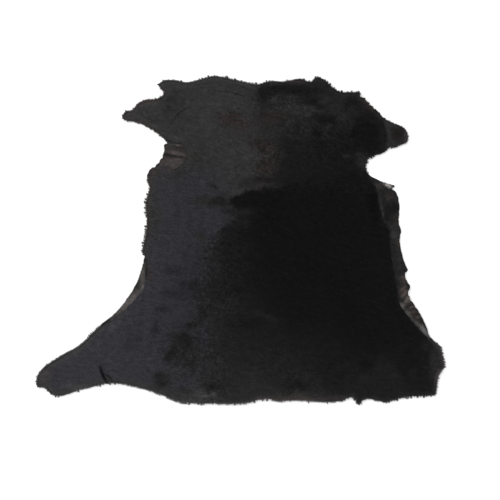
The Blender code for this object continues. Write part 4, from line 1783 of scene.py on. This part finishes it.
@dataclass(frozen=True)
class LockKind:
    """The build of one kind of lock: its root's radius, its bend to the ground and its number of rings.

    No part of a lock lies lower than its lowest height, and each side's points stop a little higher than the
    last side's, so that a lock on the ground keeps some thickness.
    """

    radius: float
    droop: float = 0.0
    rings: int = 1
    taper: float = 0.7
    sides: int = 3
    lowest: float = 0.15
    lift: float = 0.12
    skew: tuple[float, float, float] = (0.31, 0.17, 1.0)

    def part(
        self,
        base: np.ndarray,
        ways: np.ndarray,
        length: np.ndarray,
        shades: np.ndarray,
        draw: np.random.Generator,
        material: bpy.types.Material,
    ) -> Part:
        """Make locks, each a closed point.

        Args:
            base: middle of each root.
            ways: direction of each lock at its root.
            length: of each lock.
            shades: rows of shade, blue and rust for each lock.
            draw: source of random numbers.
            material: the locks' material.

        Returns:
            The locks as one part.
        """
        count = len(base)
        across = unit_rows(np.cross(ways, self.skew))
        upward = np.cross(ways, across)
        turn = draw.uniform(0.0, 2.0 * math.pi, count)
        rows, tips = [], []
        for ring in range(self.rings + 1):
            share = ring / self.rings
            middle = base + ways * (length * share)[:, None]
            middle[:, 2] -= self.droop * length * share * share
            width = self.radius * (1.0 - share) ** self.taper
            for side in range(self.sides if ring < self.rings else 1):
                angle = turn + side * 2.0 * math.pi / self.sides
                rim = across * np.cos(angle)[:, None] + upward * np.sin(angle)[:, None]
                row = middle + width * rim
                row[:, 2] = np.maximum(row[:, 2], self.lowest + self.lift * side)
                rows.append(row)
                tips.append(share)
        each = len(rows)
        faces = np.concatenate([np.arange(count)[:, None] * each + face for face in self.pattern()])
        shade, blue, rust = (np.repeat(column, each) for column in shades.T)
        chance = np.repeat(draw.uniform(0.0, 1.0, count), each)
        values = {"shade": shade, "blue": blue, "rust": rust, "tip": np.tile(tips, count), "chance": chance}
        return Part(np.stack(rows, axis=1).reshape(-1, 3), faces, values, [material])

    def pattern(self) -> list[tuple[int, int, int]]:
        """Faces of one lock, by its own point numbers.

        Returns:
            Three point numbers for each face.
        """
        faces = [(2, 1, 0)]
        for side in range(self.sides):
            after = (side + 1) % self.sides
            for ring in range(self.rings - 1):
                low, high = ring * self.sides, (ring + 1) * self.sides
                faces.append((low + side, low + after, high + after))
                faces.append((low + side, high + after, high + side))
            last = (self.rings - 1) * self.sides
            faces.append((last + side, last + after, self.sides * self.rings))
        return faces


@dataclass
class PileLocks:
    """The pile's small locks, which lean with the nap and gather in clumps."""

    bed: WoolBed
    finishes: Finishes
    kind: LockKind = LockKind(radius=1.45)
    names: tuple[str, ...] = ("pile_rump", "pile_loin", "pile_shoulders", "pile_neck")
    step: float = 2.2
    jitter: float = 0.3
    lattice_seed: int = 9
    least_depth: float = 0.5
    edge_gap: float = 0.5
    root_sunk: float = 1.0
    length_share: float = 0.5
    least_length: float = 2.0
    length_spread: float = 0.1
    lean: float = 0.55
    clumps: tuple[tuple[float, float, Layer], ...] = ((0.55, 9.0, Layer.CLUMPS), (0.4, 4.0, Layer.LOCKS))
    stray: float = 0.14
    rim_band: float = 9.0
    line_lean: float = 0.8
    seed: int = 31

    def ways(self, roots: np.ndarray, draw: np.random.Generator) -> np.ndarray:
        """Direction of each lock.

        Args:
            roots: rows of x and y.
            draw: source of random numbers.

        Returns:
            Rows of x, y and z, of length 1.
        """
        edge, form = self.bed.edge, self.bed.form
        number, gap = edge.nearest(roots)
        side = self.bed.nap.flow(roots) * self.lean
        for size, length, layer in self.clumps:
            side -= NOISE.slope(roots, length, layer) * size
        side += draw.normal(0.0, self.stray, side.shape)
        rim = (1.0 - smooth_step(gap / self.rim_band)) * edge.woolly[number]
        side += edge.normals[number] * rim[:, None]
        cover = form.cover(roots)
        thin = np.flatnonzero((cover > 0.0) & (cover < 1.0))
        here = roots[thin]
        rise = [form.cover(here + step) - cover[thin] for step in ((1.0, 0.0), (0.0, 1.0))]
        side[thin] -= unit_rows(np.stack(rise, axis=1)) * self.line_lean
        return unit_rows(np.column_stack((side, np.ones(len(roots)))))

    def build(self) -> list[bpy.types.Object]:
        """Make the pile, in pieces of even size from rump to neck.

        Returns:
            The pieces' objects.
        """
        bed, draw = self.bed, np.random.default_rng(self.seed)
        roots = bed.edge.lattice(self.step, self.jitter, self.lattice_seed)
        roots = bed.with_wool(roots, self.least_depth, self.edge_gap)
        roots = roots[np.argsort(roots[:, 1], kind="stable")]
        length = np.maximum(bed.form.wool(roots) * self.length_share, self.least_length)
        length *= 1.0 + draw.normal(0.0, self.length_spread, len(roots))
        ways = self.ways(roots, draw)
        base = np.column_stack((roots, bed.upper(roots) - self.root_sunk))
        shades = bed.nap.shades(roots)
        pieces = []
        for name, mine in zip(self.names, np.array_split(np.arange(len(roots)), len(self.names))):
            mine_long = length[mine] + self.root_sunk
            part = self.kind.part(base[mine], ways[mine], mine_long, shades[mine], draw, self.finishes.pile)
            pieces.append(part.build(name, Slot.WOOL))
        return pieces


@dataclass
class RimWool:
    """Longer locks and loose hairs that stand out past the cut edge, gathered into teeth."""

    bed: WoolBed
    finishes: Finishes
    lock: LockKind = LockKind(radius=1.3, droop=0.3, rings=2, taper=0.5)
    hair: LockKind = LockKind(radius=0.3, droop=0.45, rings=2, taper=0.5)
    levels: tuple[float, ...] = (0.08, 0.3, 0.52, 0.75)
    twins: int = 2
    tooth: tuple[float, float] = (4.0, 10.0)
    tooth_reach: float = 8.0
    tooth_pull: float = 0.6
    weakest_tooth: float = 0.15
    tooth_power: float = 1.4
    torn_away: float = 0.16
    least_share: float = 0.3
    solid_share: float = 0.85
    held_back: float = 1.6
    most_gaps: float = 0.8
    inward: float = 3.0
    inward_low: float = 0.4
    inward_spread: float = 1.5
    side_spread: float = 1.0
    stray: float = 0.18
    flow_share: float = 0.2
    flat_rise: float = 0.05
    level_share: float = 0.75
    shallow_share: float = 0.6
    least_overhang: float = 0.2
    least_outward: float = 0.4
    spread: tuple[float, float] = (0.85, 1.1)
    hair_extra: float = 1.6
    hairs_each: float = 0.45
    longest: float = 14.0
    full_depth: float = 8.0
    seed: int = 41
    seed_step: int = 10

    def teeth(self, draw: np.random.Generator) -> tuple[np.ndarray, np.ndarray]:
        """Gather the cut edge into teeth of wool.

        Args:
            draw: source of random numbers.

        Returns:
            Where each of the edge's points lies in its tooth, from -1 to 1, and the tooth's strength.
        """
        points = self.bed.edge.points
        run = np.concatenate(((0.0,), np.linalg.norm(np.diff(points, axis=0), axis=1).cumsum()))
        starts = np.concatenate(((0.0,), draw.uniform(*self.tooth, len(points)).cumsum()))
        number = np.searchsorted(starts, run, side="right") - 1
        share = (run - starts[number]) / (starts[number + 1] - starts[number])
        strength = draw.uniform(self.weakest_tooth, 1.0, len(starts)) ** self.tooth_power
        return 2.0 * share - 1.0, strength[number]

    def layer(self, level: float, kind: LockKind, extra: float, density: float, seed: int) -> Part:
        """One layer of locks along the edge, which reach about as far as the solid's own rim does.

        Args:
            level: height of their roots, as a share of the wool's depth.
            kind: their build.
            extra: how much further they reach.
            density: share of the edge's steps that carries one.
            seed: of the random draw.

        Returns:
            The layer.
        """
        edge, bed, draw = self.bed.edge, self.bed, np.random.default_rng(seed)
        keep = edge.woolly * density > draw.uniform(0.0, self.most_gaps, len(edge.points))
        reach = edge.reach * np.clip(1.0 - self.torn_away * edge.tear, self.least_share, 1.0)
        rows = (edge.points, edge.normals, reach, *self.teeth(np.random.default_rng(self.seed)))
        points, normals, reach, place, strength = (row[keep] for row in rows)
        count = len(points)
        along = np.stack((-normals[:, 1], normals[:, 0]), axis=1)
        inward = self.inward * (self.inward_low + level) + draw.uniform(0.0, self.inward_spread, count)
        aside = draw.uniform(-self.side_spread, self.side_spread, (count, 1))
        root = points - normals * inward[:, None] + along * aside
        sway = draw.normal(0.0, self.stray, count) - self.tooth_pull * place
        side = unit_rows(normals + along * sway[:, None] + self.flow_share * bed.nap.flow(points))
        ways = unit_rows(np.column_stack((side, np.full(count, self.flat_rise + self.level_share * level))))
        depth = bed.form.wool(points - normals * edge.look_in)
        tooth = self.tooth_reach * strength * (1.0 - np.abs(place))
        tooth *= np.clip(depth / self.full_depth, self.shallow_share, 1.0)
        tooth *= local_amount(points, 1.0, TOOTH_STRENGTHS)
        overhang = np.maximum(self.solid_share * reach + tooth - self.held_back, self.least_overhang) + extra
        outward = np.maximum((ways[:, :2] * normals).sum(1), self.least_outward)
        longs = np.minimum((overhang + inward) / outward * draw.uniform(*self.spread, count), self.longest)
        rise = level * self.level_share * depth * bed.form.cover(root)
        base = np.column_stack((root, bed.form.top(root) + rise))
        return kind.part(base, ways, longs, bed.nap.shades(root), draw, self.finishes.rim)

    def build(self) -> bpy.types.Object:
        """Make the rim's wool.

        Returns:
            Its object.
        """
        parts = []
        for number, level in enumerate(self.levels):
            seeds = self.seed + self.seed_step * number + np.arange(1, self.twins + 2)
            for seed in seeds[:-1]:
                parts.append(self.layer(level, self.lock, 0.0, 1.0, int(seed)))
            parts.append(self.layer(level, self.hair, self.hair_extra, self.hairs_each, int(seeds[-1])))
        return joined(parts).build("rim_wool", Slot.WOOL)


@dataclass(frozen=True)
class SoftBox:
    """A soft lamp that points at the hide's middle: where it stands, its size and its power."""

    name: str
    place: tuple[float, float, float]
    size: float
    power: float


@dataclass(frozen=True)
class Studio:
    """A pale floor, soft lamps and the camera above the hide, with sizes in metres."""

    floor_half: float = 14.0
    floor_drop: float = 0.0004
    floor_level: float = 0.9
    floor_mottle: float = 0.01
    floor_patches: float = 3.0
    floor_detail: float = 2.0
    floor_roughness: float = 0.9
    floor_specular: float = 0.1
    air_colour: tuple[float, float, float, float] = (1.0, 1.0, 1.0, 1.0)
    air_strength: float = 0.9
    camera_place: tuple[float, float, float] = (0.0247, -0.026, 3.0)
    photo_width: float = 1.375
    sensor: float = 36.0
    sight: float = 100.0
    lamps: tuple[SoftBox, ...] = (
        SoftBox("key lamp", (-1.6, 1.3, 2.6), 2.2, 72.0),
        SoftBox("fill lamp", (1.9, -1.0, 2.8), 2.2, 30.0),
    )

    def floor(self) -> None:
        """Lay the floor, just under the hide."""
        half, low = self.floor_half, -self.floor_drop
        mesh = bpy.data.meshes.new("floor")
        corners = ((-half, -half, low), (half, -half, low), (half, half, low), (-half, half, low))
        mesh.from_pydata(corners, [], [(0, 1, 2, 3)])
        desk, shader, material = new_material("pale floor")
        tone = desk.noise(desk.coordinates(), self.floor_patches, self.floor_detail)
        level = desk.plus(desk.times(tone, self.floor_mottle), self.floor_level)
        base = desk.add("ShaderNodeCombineColor", Red=level, Green=level, Blue=level)
        desk.fill(shader, Base_Color=base.outputs["Color"], Roughness=self.floor_roughness)
        desk.fill(shader, Specular_IOR_Level=self.floor_specular)
        mesh.materials.append(material)
        floor = placed("floor", mesh)

    def lights(self) -> None:
        """Hang the soft lamps and light the air."""
        world = bpy.data.worlds.new("air")
        world.use_nodes = True
        desk = NodeDesk(world.node_tree)
        desk.fill(world.node_tree.nodes["Background"], Color=self.air_colour, Strength=self.air_strength)
        bpy.context.scene.world = world
        for box in self.lamps:
            lamp = bpy.data.lights.new(box.name, "AREA")
            lamp.shape = "SQUARE"
            lamp.size = box.size
            lamp.energy = box.power
            thing = placed(box.name, lamp)
            thing.location = box.place
            thing.rotation_euler = (-Vector(box.place)).to_track_quat("-Z", "Y").to_euler()

    def camera(self) -> None:
        """Place the camera straight above the hide, with the neck at the top."""
        lens = bpy.data.cameras.new("camera")
        lens.sensor_width = self.sensor
        lens.lens = self.sensor * self.camera_place[2] / self.photo_width
        lens.clip_end = self.sight
        thing = placed("camera", lens)
        thing.location = self.camera_place
        bpy.context.scene.camera = thing

    def build(self) -> None:
        """Set up the studio, with colours shown as they are."""
        self.floor()
        self.lights()
        self.camera()
        bpy.context.scene.view_settings.view_transform = "Standard"
        log.info("studio: floor, %d lamps, camera", len(self.lamps))


def write_size() -> None:
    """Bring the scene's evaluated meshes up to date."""
    bpy.context.view_layer.update()


def main() -> None:
    """Build the studio and the hide, piece by piece."""
    logging.basicConfig(level=logging.INFO, format="%(message)s")
    Studio().build()
    form = HideForm(SolidHide(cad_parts[NODE]))
    edge = CutEdge(form)
    finishes = Finishes()
    leather = LeatherSheet(form, edge, finishes).build()
    bed = WoolBed(form, edge, NapMap(edge), finishes)
    wool = [bed.build(), *PileLocks(bed, finishes).build(), RimWool(bed, finishes).build()]
    area = form.solid.area() * METRES * METRES
    write_size()


if __name__ == "__main__":
    main()
